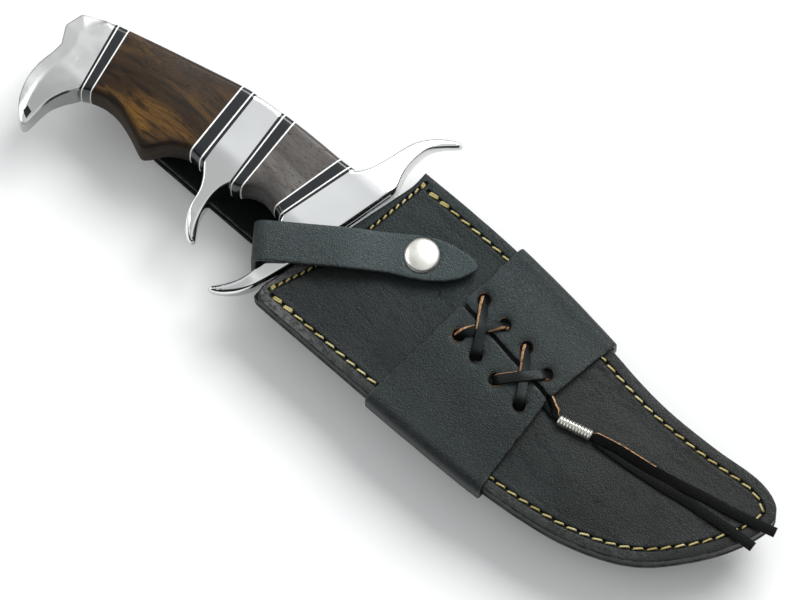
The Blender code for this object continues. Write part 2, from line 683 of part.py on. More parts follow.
def strap_root():
    half = STRAP_W / 2
    bend = FOLD_S + FOLD_CLEAR
    points = [(bend, -half), (ROOT_END_S - 4, -half), (ROOT_END_S, -half + 4), (ROOT_END_S, half - 4),
              (ROOT_END_S - 4, half), (bend, half)]
    obj = slab("strap_root", strap_outline(points), ROOT_Z, ROOT_Z + STRAP_T, black_leather("strap_root"))
    spot = strap_point(ROOT_RIVET_S, 0)
    hole(obj, "strap_root_rivet_hole", spot, 2.2, ROOT_Z - 1, ROOT_Z + STRAP_T + 1)
    top = ROOT_Z + STRAP_T + 0.2
    low = LOOP_INNER_Z - 0.2
    profile = [(0, low - 0.6), (3.6, low - 0.5), (3.9, low), (1.9, low), (1.9, top), (3.9, top), (3.7, top + 0.45),
               (0, top + 0.5)]
    turned("strap_root_rivet", profile, spot, polished_steel("strap_root_rivet"))


def strap_fold():
    half_w = STRAP_W / 2
    half_t = STRAP_T / 2
    points = [(FOLD_S - half_t, -half_w), (FOLD_S + half_t, -half_w), (FOLD_S + half_t, half_w),
              (FOLD_S - half_t, half_w)]
    obj = slab("strap_fold", strap_outline(points), FOLD_LOW_Z + 0.5, FOLD_HIGH_Z - 0.5, black_leather("strap_fold"))
    set_origin(obj, (*strap_point(FOLD_S, 0), FOLD_LOW_Z))


def flap_height(s):
    """Underside of the strap's front leg: level over the guard, then down to the snap."""
    return STRAP_OVER_Z + (STRAP_SNAP_Z - STRAP_OVER_Z) * ease(s, -32, -10)


def strap_flap():
    half = STRAP_W / 2
    lower = [(FOLD_S + FOLD_CLEAR, -half), (-32, -half), (-24, -half), (-17, -half), (-12, -half)]
    upper = [(-12, half), (-17, half), (-24, half), (-32, half), (FOLD_S + FOLD_CLEAR, half)]
    outline = lower + [tuple(p) for p in smooth(STRAP_END, 2)] + upper
    bm = slab_mesh(outline, 0, STRAP_T)
    bmesh.ops.triangulate(bm, faces=[f for f in bm.faces if len(f.verts) > 4])
    for vert in bm.verts:
        s, t, z = vert.co
        vert.co = (*strap_point(s, t), z + flap_height(s))
    obj = new_object("strap_flap", bm, black_leather("strap_flap"))
    hole(obj, "strap_flap_snap_hole", SNAP, 2.3, STRAP_SNAP_Z - 2, STRAP_SNAP_Z + STRAP_T + 2)
    set_origin(obj, (*strap_point(FOLD_S, 0), FOLD_HIGH_Z))


def snap():
    top = STRAP_SNAP_Z + STRAP_T + GAP
    cap = [(0, top + 2.3), (3.0, top + 2.1), (5.4, top + 1.6), (7.0, top + 0.8), (7.5, top), (2.0, top),
           (2.0, STRAP_SNAP_Z - 0.9), (0, STRAP_SNAP_Z - 0.9)]
    turned("snap_cap", cap[::-1], SNAP, polished_steel("snap_cap"), 24)
    low = FRONT_TOP + 1.0
    high = STRAP_SNAP_Z - 0.25
    socket = [(3.6, low), (5.9, low), (6.2, high), (2.4, high), (2.4, high - 0.5), (3.6, high - 0.5)]
    turned("snap_socket", socket, SNAP, polished_steel("snap_socket"))
    base = FRONT_TOP + 0.2
    stud = [(2.3, base), (5.0, base), (4.9, base + 0.5), (3.0, base + 0.55), (2.7, base + 1.2), (3.1, base + 1.8),
            (2.3, base + 2.3)]
    turned("snap_stud", stud, SNAP, polished_steel("snap_stud"))
    floor = FRONT_Z + 0.15
    post = [(0, floor), (4.6, floor), (4.6, floor + 0.45), (1.9, floor + 0.5), (1.9, base + 1.6), (0, base + 1.6)]
    turned("snap_post", post, SNAP, polished_steel("snap_post"))


# Lacing


def band_left(y):
    return BAND_X[0] + 0.073 * y


def band_right(y):
    return BAND_X[1] + (0.15 * (y - 4) if y > 4 else 0.08 * (4 - y))


def edge_at(run, x):
    """The y of a sheath edge at x."""
    pts = sorted(run, key=lambda p: p[0])
    return on_line([tuple(p) for p in pts], x).y


def band_section(u):
    """The band's C-shaped section, from the upper flap's slit end round the back to the lower flap's."""
    x_mid = BAND_X[0] + u * (BAND_X[1] - BAND_X[0])
    top = edge_at(SPINE_EDGE, x_mid) + GAP
    low = edge_at(BELLY_EDGE, x_mid) - GAP
    slit_y = SLIT[0][1] + u * (SLIT[1][1] - SLIT[0][1])
    front = FRONT_TOP + GAP
    back = BACK_Z - GAP
    raised = front + BAND_LIFT
    a = slit_y + SLIT_W / 2
    b = slit_y - SLIT_W / 2
    t = BAND_T
    outer = [(a, raised + t), (a + 12, raised + t), (top - 4, front + t), (top + t * 0.7, front + t * 0.7),
             (top + t, front - 1), (top + t, back + 1), (top + t * 0.7, back - t * 0.7), (top - 1, back - t),
             (low + 1, back - t), (low - t * 0.7, back - t * 0.7), (low - t, back + 1), (low - t, front - 1),
             (low - t * 0.7, front + t * 0.7), (low + 4, front + t), (b - 12, raised + t), (b, raised + t)]
    inner = [(b, raised), (b - 12, raised), (low + 4, front), (low, front), (low, back), (top, back), (top, front),
             (top - 4, front), (a + 12, raised), (a, raised)]
    section = []
    for y, z in outer + inner:
        left, right = band_left(y), band_right(y)
        section.append((left + u * (right - left), y, z))
    return section


def lacing_band():
    sections = [band_section(u / 5) for u in range(6)]
    obj = new_object("lacing_band", loft_mesh(sections), black_leather("lacing_band"))
    bpy.context.view_layer.update()
    for k, spot in enumerate(HOLES_A + HOLES_B):
        hole(obj, f"lacing_band_hole_{k}", spot, HOLE_R, FRONT_TOP - 0.5, BAND_TOP + 3, 12)


def lace_route():
    """The lace from one side of the band's end, through the holes in two crosses, and back out."""
    a1, a2, a3, a4 = HOLES_A
    b1, b2, b3, b4 = HOLES_B
    low, high = LACE_LOW_Z, LACE_HIGH_Z
    over = high + 2 * LACE_R + 0.9
    route = [(108.4, 6.0, low), (106.6, 8.0, low)]

    def rise(spot, start, end):
        route.extend([(*spot, start), (*spot, (start + end) / 2), (*spot, end)])

    def span(one, other, height):
        mid = ((one[0] + other[0]) / 2, (one[1] + other[1]) / 2, height)
        route.append(mid)

    rise(a4, low, high)
    span(a4, b3, over)
    rise(b3, high, low)
    rise(b2, low, high)
    span(b2, a1, over)
    rise(a1, high, low)
    rise(b1, low, high)
    span(b1, a2, high)
    rise(a2, high, low)
    rise(a3, low, high)
    span(a3, b4, high)
    rise(b4, high, low)
    return route + [(106.8, -0.6, low), (108.4, 2.6, low)]


def lacing():
    cord("lacing", smooth(lace_route(), 2), LACE_R, black_leather("lacing"), 1)


TAIL_UPPER = [(109.2, 5.9, 33.95), (112.4, 4.2, 33.95), (116.2, 2.7, 34.7), (119.6, 1.82, 35.1), (126.8, 3.62, 35.1),
              (133.9, 5.42, 35.1), (140.5, 7.3, 35.0), (149.0, 9.6, 34.7), (158.0, 10.8, 34.2), (168.0, 12.3, 33.95),
              (180.0, 15.2, 33.95), (193.0, 18.8, 33.95), (205.0, 21.6, 34.0), (217.2, 24.1, 34.2)]
TAIL_LOWER = [(109.2, 2.5, 33.95), (112.6, 1.6, 33.95), (116.4, 0.7, 34.7), (120.0, -0.02, 35.1), (127.2, 1.78, 35.1),
              (134.3, 3.58, 35.1), (142.0, 4.7, 35.0), (150.5, 5.6, 34.9), (160.0, 6.9, 34.4), (170.2, 8.1, 34.1),
              (180.0, 9.4, 33.95), (190.0, 10.7, 33.95), (203.2, 12.2, 34.0), (214.2, 13.2, 34.2)]


def tails():
    cord("lace_tail_upper", smooth(TAIL_UPPER, 2), LACE_R, black_leather("lace_tail_upper"), 2)
    cord("lace_tail_lower", smooth(TAIL_LOWER, 2), LACE_R, black_leather("lace_tail_lower"), 2)


def ferrule():
    """An oval crimped tube that holds the two tails side by side."""
    start, end = Vector(FERRULE[0]), Vector(FERRULE[1])
    run = (end - start).normalized()
    side = Vector((-run.y, run.x, 0))
    up = Vector((0, 0, 1))
    height = TAIL_UPPER[3][2]
    bm = bmesh.new()
    rings = []
    sides = 16
    for place, size in ((start, FERRULE_SIZE), (end, FERRULE_SIZE), (end, FERRULE_BORE), (start, FERRULE_BORE)):
        rings.append([bm.verts.new(Vector((*place, height)) + side * math.cos(a) * size[0] + up * math.sin(a) * size[1])
                      for a in (2 * math.pi * k / sides for k in range(sides))])
    for i in range(4):
        one, other = rings[i], rings[(i + 1) % 4]
        for k in range(sides):
            j = (k + 1) % sides
            bm.faces.new((one[k], one[j], other[j], other[k]))
    new_object("lace_ferrule", bm, polished_steel("lace_ferrule"))


def build():
    clear_scene()
    blade()
    tang_fittings()
    guard()
    sub_guard()
    pommel()
    woods()
    spacers()
    front_panel()
    back_panel()
    welt()
    threads()
    belt_loop()
    strap_root()
    strap_fold()
    strap_flap()
    snap()
    lacing_band()
    lacing()
    tails()
    ferrule()


build()
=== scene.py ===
"""The look of a sub-hilt hunting knife in a black laced leather sheath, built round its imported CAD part.

Every shape is drawn in millimetres in the part's own frame: +X along the sheath to its tip, +Y to the blade's
spine, +Z out of the sheath's front. A mesh is scaled to metres when it is made.
"""

import math

import bmesh
import bpy
import numpy as np
from mathutils import Matrix, Vector
from mathutils.geometry import delaunay_2d_cdt


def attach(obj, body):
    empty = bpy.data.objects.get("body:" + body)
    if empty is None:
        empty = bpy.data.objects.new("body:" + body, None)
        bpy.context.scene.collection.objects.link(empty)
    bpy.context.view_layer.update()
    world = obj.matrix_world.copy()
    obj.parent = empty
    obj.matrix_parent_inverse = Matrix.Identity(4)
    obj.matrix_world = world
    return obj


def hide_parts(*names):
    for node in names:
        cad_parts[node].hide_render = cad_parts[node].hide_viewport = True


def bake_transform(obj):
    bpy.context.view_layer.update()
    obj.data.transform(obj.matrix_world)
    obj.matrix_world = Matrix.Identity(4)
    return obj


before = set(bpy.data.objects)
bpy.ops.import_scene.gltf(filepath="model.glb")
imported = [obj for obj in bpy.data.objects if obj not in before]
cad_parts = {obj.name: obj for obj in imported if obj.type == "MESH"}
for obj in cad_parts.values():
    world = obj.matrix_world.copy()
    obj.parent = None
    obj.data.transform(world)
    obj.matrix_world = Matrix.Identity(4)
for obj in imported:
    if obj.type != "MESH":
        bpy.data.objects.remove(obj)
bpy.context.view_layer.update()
MM = 0.001
UP = Vector((0, 0, 1))

# Heights, as in the CAD part
KNIFE_Z = 27.0
HANDLE_H = 11.5
BACK_Z = 21.2
LEATHER = 2.8
WELT_Z = 24.3
WELT_T = 5.4
FRONT_Z = 30.0
FRONT_TOP = FRONT_Z + LEATHER
BLADE_T = 4.8
CLEARANCE = 0.3

# Camera and lamps
HEADING = math.radians(41.3)
TILT = math.radians(14)
LOOK_AT = Vector((37.1, -3.7, 32.8))
PHOTO_WIDTH = 328.0
LENS = 900.0
SENSOR = 36.0
CLIP = (0.05, 30.0)
KEY_POWER = 34.0
FILL_POWER = 9.0

# The sheath's outline and seams
SPINE_EDGE = [
    (9.4, 43.8), (34, 44.1), (60, 43.6), (88, 41.3), (117, 37.8), (135, 35.2), (153, 33.9), (176, 34.6),
    (192.3, 36.2), (202, 35.8), (209.6, 33), (213.3, 28.5)]
BELLY_EDGE = [
    (213.3, 28.5), (213.2, 23.5), (210.5, 14.5), (205.2, 3.8), (198.2, -6.3), (188.4, -17.6), (178.7, -25.2),
    (166.4, -31.2), (151.6, -36), (138.2, -38.5), (123.4, -40.3), (100, -41.9), (70, -42.4), (20, -42.3),
    (-9.6, -42.2)]
MOUTH_EDGE = [
    (-9.6, -42.2), (-9.4, -36), (-2.6, -10), (1, 4), (4.3, 17), (7.2, 28), (9.2, 36.5), (9.4, 43.8)]
MOUTH_ROW = [(12.6, 40.6), (10.6, 28.0), (8.0, 11.0), (4.0, -6.0), (0.0, -20.0), (-6.2, -35.6)]
STITCH_INSET = 5.4
STITCH_PITCH = 5.7
MOUTH_PITCH = 3.4
NEEDLE = 0.45
NICK = np.array([(46.5, 9.7), (47.2, 9.3), (47.3, 8.5)])

# Strap and snap
SNAP = (32.4, 15.3)
STRAP_ANGLE = math.radians(36.0)
STRAP_T = 2.4
STRAP_W = 17.2
FOLD_S = -68.6
ROOT_MID_Z = 13.3
FLAP_MID_Z = 40.2
SNAP_MID_Z = 37.6
STRAP_RADIUS = 0.75
STRAP_BEND = 4.0
TIP_RUN = 24.0

# Lacing band
BAND_T = 2.2
BAND_X = (57.0, 110.9)
HOLES_A = [(63.7, 18.5), (76.9, 16.0), (90.0, 14.7), (103.7, 11.6)]
HOLES_B = [(65.6, 0.3), (76.8, -1.8), (89.1, -3.9), (103.7, -5.6)]
HOLE_R = 2.9
BAND_TOP = 37.2
BAND_CORNER = 2.9
LACE_W = 4.1
LACE_T = 1.5
TAIL_T = 1.05


# Curves and points


def smooth(points, steps=6):
    """A Catmull-Rom curve through the points."""
    pts = [Vector(p) for p in points]
    run = [2 * pts[0] - pts[1]] + pts + [2 * pts[-1] - pts[-2]]
    out = []
    for a, b, c, d in zip(run, run[1:], run[2:], run[3:]):
        for k in range(steps):
            t = k / steps
            out.append(0.5 * (2 * b + (c - a) * t + (2 * a - 5 * b + 4 * c - d) * t * t
                              + (3 * b - a - 3 * c + d) * t ** 3))
    return out + [pts[-1]]


def array_of(points):
    return np.array([tuple(p) for p in points], float)


def closed(loop):
    return np.vstack([loop, loop[:1]])


def table_of(points):
    """Points as an array, with the distance run at each."""
    arr = array_of(points)
    return arr, np.concatenate([[0.0], np.cumsum(np.linalg.norm(np.diff(arr, axis=0), axis=1))])


def sample(at, run, arr):
    """The rows of arr, which are at the distances run, interpolated at other distances."""
    return np.stack([np.interp(at, run, column) for column in arr.T], 1)


def resample(points, step):
    arr, run = table_of(points)
    return sample(np.linspace(0, run[-1], max(2, int(round(run[-1] / step)) + 1)), run, arr)


def height_on(table, x):
    return np.interp(x, table[:, 0], table[:, 1])


def right_of(ahead):
    side = np.stack([ahead[:, 1], -ahead[:, 0]], 1)
    return side / np.maximum(np.linalg.norm(side, axis=1, keepdims=True), 1e-9)


def nearest(points, spots):
    """Distance of each point from the nearest of some spots."""
    spots = np.asarray(spots)
    return np.concatenate([np.sqrt(((points[k:k + 1500, None] - spots[None]) ** 2).sum(2)).min(1)
                           for k in range(0, len(points), 1500)])


def offset(points, distance):
    """Points moved to the right of the direction they run in, without any that a tight bend folds over."""
    arr = array_of(points)
    moved = arr + right_of(np.gradient(arr, axis=0)) * distance
    return moved[nearest(moved, arr) > abs(distance) - 0.12]


def distances(points, lines):
    """Distance of each point from the nearest of some polylines."""
    best = np.full(len(points), 1e9)
    for line in lines:
        a, b = np.asarray(line)[:-1], np.asarray(line)[1:]
        ab = b - a
        size = np.maximum((ab ** 2).sum(1), 1e-12)
        for k in range(0, len(points), 3000):
            ap = points[k:k + 3000, None, :] - a[None]
            t = np.clip((ap * ab).sum(2) / size, 0, 1)
            d = np.sqrt(((ap - t[..., None] * ab) ** 2).sum(2)).min(1)
            best[k:k + 3000] = np.minimum(best[k:k + 3000], d)
    return best


def inside(points, outer, *holes):
    """Whether each point is inside a loop and outside the loops of its holes."""
    x, y = points[:, 0], points[:, 1]
    result = np.zeros(len(points), bool)
    for (x0, y0), (x1, y1) in zip(outer, np.roll(outer, -1, 0)):
        if y0 != y1:
            result ^= ((y0 > y) != (y1 > y)) & (x < x0 + (y - y0) * (x1 - x0) / (y1 - y0))
    for hole in holes:
        result &= ~inside(points, hole)
    return result


def ease(value, low, high):
    t = np.clip((np.asarray(value, float) - low) / (high - low), 0, 1)
    return t * t * (3 - 2 * t)


def ripple(x, y, seed, size):
    """A smooth random relief between about -1 and 1, with bumps of the given size."""
    rng = np.random.default_rng(seed)
    total = np.zeros_like(np.asarray(x, float))
    for _ in range(7):
        angle, phase, scale = rng.uniform(0, math.tau), rng.uniform(0, math.tau), rng.uniform(0.7, 1.6)
        total += np.sin((x * math.cos(angle) + y * math.sin(angle)) * math.tau / (size * scale) + phase)
    return total / 4


def circle(centre, radius, count=20):
    turn = np.arange(count) * math.tau / count
    return np.stack([centre[0] + radius * np.cos(turn), centre[1] + radius * np.sin(turn)], 1)


def arc(x, y, radius, start, count, sweep=90):
    """Points round part of a circle, both ends included, its angles in degrees."""
    turns = [math.radians(start + sweep * k / count) for k in range(count + 1)]
    return [(x + radius * math.cos(t), y + radius * math.sin(t)) for t in turns]


# Meshes


def linked(name, data):
    obj = bpy.data.objects.new(name, data)
    bpy.context.scene.collection.objects.link(obj)
    return obj


def make_mesh(name, nodes, verts, faces, mats, body, sharp=35.0, attributes=None, slots=None, mend=True):
    """A piece on a body, in place of some of the CAD part's nodes, with the given materials."""
    mesh = bpy.data.meshes.new(name)
    mesh.from_pydata([tuple(float(c) * MM for c in v) for v in verts], [],
                     [tuple(int(i) for i in f) for f in faces])
    for mat in mats if isinstance(mats, list) else [mats]:
        mesh.materials.append(mat)
    if slots is not None:
        mesh.polygons.foreach_set("material_index", np.asarray(slots, np.int32))
    for key, values in (attributes or {}).items():
        layer = mesh.attributes.new(key, "FLOAT", "POINT")
        layer.data.foreach_set("value", np.asarray(values, np.float32))
    mesh.validate()
    mesh.shade_smooth()
    mesh.set_sharp_from_angle(angle=math.radians(sharp))
    obj = linked(name, mesh)
    if body:
        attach(obj, body)
    if mend:
        bm = bmesh.new()
        bm.from_mesh(mesh)
        bmesh.ops.recalc_face_normals(bm, faces=bm.faces)
        bm.to_mesh(mesh)
        bm.free()
    if nodes:
        stand_for(obj, *nodes)
    return obj


def stand_for(obj, *nodes):
    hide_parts(*nodes)


def ring_faces(rings, count, start=0, wrap=False):
    """Quads between rings of count points, and from the last ring back to the first if they wrap."""
    faces = []
    for r in range(rings if wrap else rings - 1):
        a, b = start + r * count, start + (r + 1) % rings * count
        faces += [(a + i, a + (i + 1) % count, b + (i + 1) % count, b + i) for i in range(count)]
    return faces


def cap_faces(rings, count, start=0):
    last = start + (rings - 1) * count
    return [tuple(range(start, start + count))[::-1], tuple(range(last, last + count))]


def flat_place(points, height):
    return np.column_stack([points, height])


def plate(name, nodes, outer, form, mats, body, rings, spacing, holes=(), extra=None, place=flat_place,
          rounding=None, sharp=35.0, seams=None):
    """A closed piece cut to an outline: form(points, d) gives its top and bottom heights, d being each point's
    distance from the rim. rounding lists the rim's lines if not all of it is rounded."""
    loops = [np.asarray(loop, float) for loop in (outer, *holes)]
    rims = [closed(loop) for loop in loops]
    sets = []
    for distance in rings:
        for loop in loops:
            side = right_of(np.roll(loop, -1, 0) - np.roll(loop, 1, 0))
            for moved in (loop + side * distance, loop - side * distance):
                sets.append(moved[distances(moved, rims) > distance * 0.93])
    low, high = loops[0].min(0), loops[0].max(0)
    gx, gy = np.meshgrid(np.arange(low[0], high[0], spacing), np.arange(low[1], high[1], spacing * 0.87))
    gx[1::2] += spacing / 2
    grid = np.stack([gx.ravel(), gy.ravel()], 1)
    grid = grid[distances(grid, rims) > max(rings) + spacing * 0.45]
    if extra is not None:
        sets.append(extra)
        grid = grid[nearest(grid, extra) > spacing * 0.4]
    free = np.concatenate(sets + [grid])
    verts, edges = [], []
    for loop in loops:
        start, count = len(verts), len(loop)
        verts += [Vector(p) for p in loop]
        edges += [(start + k, start + (k + 1) % count) for k in range(count)]
    verts += [Vector(p) for p in free[inside(free, *loops)]]
    made = delaunay_2d_cdt(verts, edges, [], 0, 1e-4, False)
    points, tris = array_of(made[0]), np.array([f for f in made[2] if len(f) == 3])
    tris = tris[inside(points[tris].mean(1), *loops)]
    a, b, c = (points[tris[:, k]] for k in range(3))
    turn = (b[:, 0] - a[:, 0]) * (c[:, 1] - a[:, 1]) - (b[:, 1] - a[:, 1]) * (c[:, 0] - a[:, 0])
    tris[turn < 0] = tris[turn < 0][:, ::-1]
    used, index = np.unique(tris, return_inverse=True)
    points, tris = points[used], index.reshape(tris.shape)
    d = distances(points, rims if rounding is None else rounding)
    top, bottom = form(points, d)
    count = len(points)
    faces = [tuple(t) for t in tris] + [tuple(t[::-1] + count) for t in tris]
    once = {}
    for t in tris:
        for i, j in ((t[0], t[1]), (t[1], t[2]), (t[2], t[0])):
            if once.pop((j, i), None) is None:
                once[(i, j)] = True
    faces += [(i, i + count, j + count, j) for i, j in once]
    # seam is high in the stitch groove, where the leather is painted darker as shade.
    seam = np.zeros(count) if seams is None else 1 - ease(distances(points, seams), 0.5, 1.0)
    return make_mesh(name, nodes, np.vstack([place(points, top), place(points, bottom)]), faces, mats, body,
                     sharp, {"edge": np.tile(d, 2), "seam": np.tile(seam, 2)}, mend=place is not flat_place)


def leather_form(mid, thickness, radius, relief=None, under=0.0):
    """Heights of a leather piece with softly rounded edges. under is the share of its relief that shows below."""
    half = thickness / 2

    def form(points, d):
        inner = radius - np.minimum(d, radius)
        fall = radius - np.sqrt(np.maximum(radius ** 2 - inner ** 2, 0))
        lift = relief(points, d) if relief else 0.0
        return mid + half - fall + lift, mid - half + fall + lift * under
    return form


def round_rings(radius, steps=3):
    return [radius * (1 - math.cos(math.pi / 2 * k / steps)) for k in range(1, steps + 1)]


def sweep_rings(path, section, ups=UP):
    """Rings of a section carried along a path; section(k) gives (across, up) pairs at station k."""
    pts = [Vector(p) for p in path]
    rings = []
    for k, p in enumerate(pts):
        ahead = (pts[min(k + 1, len(pts) - 1)] - pts[max(k - 1, 0)]).normalized()
        side = ahead.cross(Vector(ups)).normalized()
        up = side.cross(ahead)
        rings.append([tuple(p + side * a + up * b) for a, b in section(k)])
    return rings


def lathe(name, nodes, profile, centre, mat, body, sides=48, sharp=35.0):
    """A solid turned about a vertical axis, from (radius, height) points that start and end on the axis."""
    (_, low), *inner, (_, high) = profile
    verts = [(*spot, z) for radius, z in inner for spot in circle(centre, radius, sides)]
    first = len(verts)
    verts += [(*centre, low), (*centre, high)]
    faces = ring_faces(len(inner), sides)
    top = first - sides
    for k in range(sides):
        j = (k + 1) % sides
        faces += [(first, j, k), (first + 1, top + k, top + j)]
    return make_mesh(name, nodes, verts, faces, mat, body, sharp)


# Materials


def shade(colour, share):
    return tuple(c * share for c in colour)


class Nodes:
    """A node tree with helpers for adding to it."""

    def __init__(self, tree, place):
        self.tree = tree
        self.place = self.node("TexCoord").outputs[place]
        self.split = self.node("SeparateXYZ", Vector=self.place).outputs

    def feed(self, socket, value):
        """Links a socket to another, or sets its own value; a colour is given as three numbers."""
        if isinstance(value, bpy.types.NodeSocket):
            self.tree.links.new(value, socket)
        elif socket.type == "RGBA":
            socket.default_value = (*value, 1)
        else:
            socket.default_value = value

    def node(self, kind, props=None, first=(), **inputs):
        """A node with its properties, its first sockets in order and its named sockets set."""
        made = self.tree.nodes.new("ShaderNode" + kind)
        for key, value in (props or {}).items():
            setattr(made, key, value)
        for socket, value in zip(made.inputs, first):
            self.feed(socket, value)
        for key, value in inputs.items():
            self.feed(made.inputs[key.replace("_", " ")], value)
        return made

    def noise(self, scale, detail=3.0, rough=0.5, vector=None, distortion=0.0, output="Fac"):
        return self.node("TexNoise", Vector=vector or self.place, Scale=scale, Detail=detail,
                         Roughness=rough, Distortion=distortion).outputs[output]

    def warped(self, scale, detail, drift):
        """The place, pushed about by a noise."""
        push = self.node("VectorMath", {"operation": "SCALE"},
                         [self.noise(scale, detail, output="Color")], Scale=drift)
        return self.node("VectorMath", {"operation": "ADD"}, [self.place, push.outputs[0]]).outputs[0]

    def mapped(self, scale, turn=0.0, vector=None):
        return self.node("Mapping", Vector=vector or self.place, Scale=scale,
                         Rotation=(0, 0, turn)).outputs["Vector"]

    def remap(self, value, low, high, to_low=0.0, to_high=1.0):
        return self.node("MapRange", {"interpolation_type": "SMOOTHSTEP"},
                         [value, low, high, to_low, to_high]).outputs["Result"]

    def math(self, operation, a, b=0.0):
        return self.node("Math", {"operation": operation}, [a, b]).outputs[0]

    def times(self, a, b):
        return self.math("MULTIPLY", a, b)

    def mix(self, share, a, b):
        made = self.node("Mix", {"data_type": "RGBA"}, [share])
        self.feed(made.inputs[6], a)
        self.feed(made.inputs[7], b)
        return made.outputs[2]

    def ramp(self, value, stops):
        made = self.node("ValToRGB", Fac=value)
        points = made.color_ramp.elements
        while len(points) < len(stops):
            points.new(0.5)
        for point, (at, colour) in zip(points, stops):
            point.position = at
            point.color = (*colour, 1)
        return made.outputs["Color"]

    def attribute(self, name):
        return self.node("Attribute", {"attribute_name": name}).outputs["Fac"]


class Look(Nodes):
    """A Principled material: its base colour is built up in coats, then given with its roughness."""

    def __init__(self, name, colour, roughness, **values):
        self.mat = bpy.data.materials.new(name)
        self.mat.use_nodes = True
        self.shader = self.mat.node_tree.nodes["Principled BSDF"]
        super().__init__(self.mat.node_tree, "Object")
        self.base = colour
        self.give(Base_Color=colour, Roughness=roughness, **values)

    def give(self, **values):
        for key, value in values.items():
            self.feed(self.shader.inputs[key.replace("_", " ")], value)

    def coat(self, share, amount, colour):
        """Lays a colour over the base, as far as share times amount."""
        self.base = self.mix(self.times(share, amount), self.base, colour)

    def bump(self, height, distance, strength=1.0):
        """Bump whose full height is distance, in metres; called again, it adds to the last."""
        before = self.shader.inputs["Normal"].links
        below = {"Normal": before[0].from_socket} if before else {}
        made = self.node("Bump", Height=height, Distance=distance, Strength=strength, **below)
        self.give(Normal=made.outputs["Normal"])


PLAIN_TINT = (0.89, 0.99, 0.98)
COOL_TINT = (0.84, 0.98, 1.0)


def leather(name, tone, grain, depth, sheen, scuff_and_highlight, creases=0.0, strip=0.0, tint=PLAIN_TINT):
    """Black dyed leather: fine pebbled grain, faint clouding, light specks painted as highlights on the pebbles, a
    painted sheen and shade that runs cooler and lighter toward the mouth and darker toward the tip and low Y, an
    edge rubbed grey that is also a painted edge highlight, and along the sheath's lower edge a strip scuffed lighter
    outside the stitches and painted shade in the stitch groove if strip is set."""
    look = Look(name, (0.02, 0.02, 0.02), 0.5, Specular_IOR_Level=sheen, Specular_Tint=tint)
    x, y, _ = look.split
    glint_specks = look.noise(1000.0, 3.0, 0.65)
    # Painted sheen and shade: the base runs cooler and lighter toward the mouth, warmer and darker toward the tip,
    # and darker still toward low Y.
    look.base = look.mix(look.remap(x, 0.02, 0.17), shade((0.0078, 0.0125, 0.0132), tone),
                         shade((0.0105, 0.0085, 0.0064), tone))
    look.base = look.mix(look.remap(y, -0.030, 0.022, 0.9, 0.0), look.base, (0.0025, 0.0028, 0.0026))
    look.coat(look.remap(look.noise(24.0, 4.0, 0.6), 0.35, 0.7), 0.5, shade((0.018, 0.020, 0.020), tone))
    # Painted highlight: light specks on the grain stand for glints on its pebbles.
    look.coat(look.remap(glint_specks, 0.42, 0.7), 0.45, shade((0.027, 0.032, 0.031), tone))
    edge = look.attribute("edge")
    # Partly real wear, partly painted highlight: the edge rubbed grey also stands for the bright line light draws
    # along the rim.
    wear_and_edge_highlight = look.times(look.remap(edge, 0.1, 0.9, 1.0, 0.0), look.remap(look.noise(190.0, 4.0, 0.7), 0.40, 0.62))
    look.coat(wear_and_edge_highlight, scuff_and_highlight, (0.12, 0.12, 0.115))
    if strip:
        rim = look.times(look.remap(edge, 3.7, 4.6, 1.0, 0.0), look.remap(edge, 0.5, 1.0))
        lower = look.times(look.remap(y, -0.024, -0.008, 1.0, 0.0), look.remap(x, -0.002, 0.05, 0.6, 0.14))
        fleck = look.remap(look.noise(420.0, 5.0, 0.8), 0.36, 0.60, 0.1, 1.0)
        look.coat(look.times(look.times(rim, lower), fleck), strip, (0.17, 0.17, 0.165))
        # Painted shade: the stitch groove is darkened where seam is high.
        look.coat(look.attribute("seam"), 0.85, (0.004, 0.0035, 0.003))
    look.give(Base_Color=look.base, Roughness=look.remap(glint_specks, 0.3, 0.75, 0.36, 0.56))
    pebble = look.node("TexVoronoi", {"feature": "SMOOTH_F1"}, Vector=look.warped(700.0, 2.0, 0.0009),
                       Scale=grain).outputs["Distance"]
    look.bump(look.math("SUBTRACT", 1.0, pebble), depth, 0.8)
    look.bump(look.noise(grain * 1.7, 2.0), depth * 0.5, 0.6)
    if creases:
        lines = look.noise(60.0, 5.0, 0.65, look.mapped((0.5, 1.6, 1.0), 0.5), 1.2)
        fold = look.math("ABSOLUTE", look.math("SUBTRACT", lines, 0.5))
        look.bump(look.remap(fold, 0.0, 0.014), 0.00012, creases)
    return look.mat


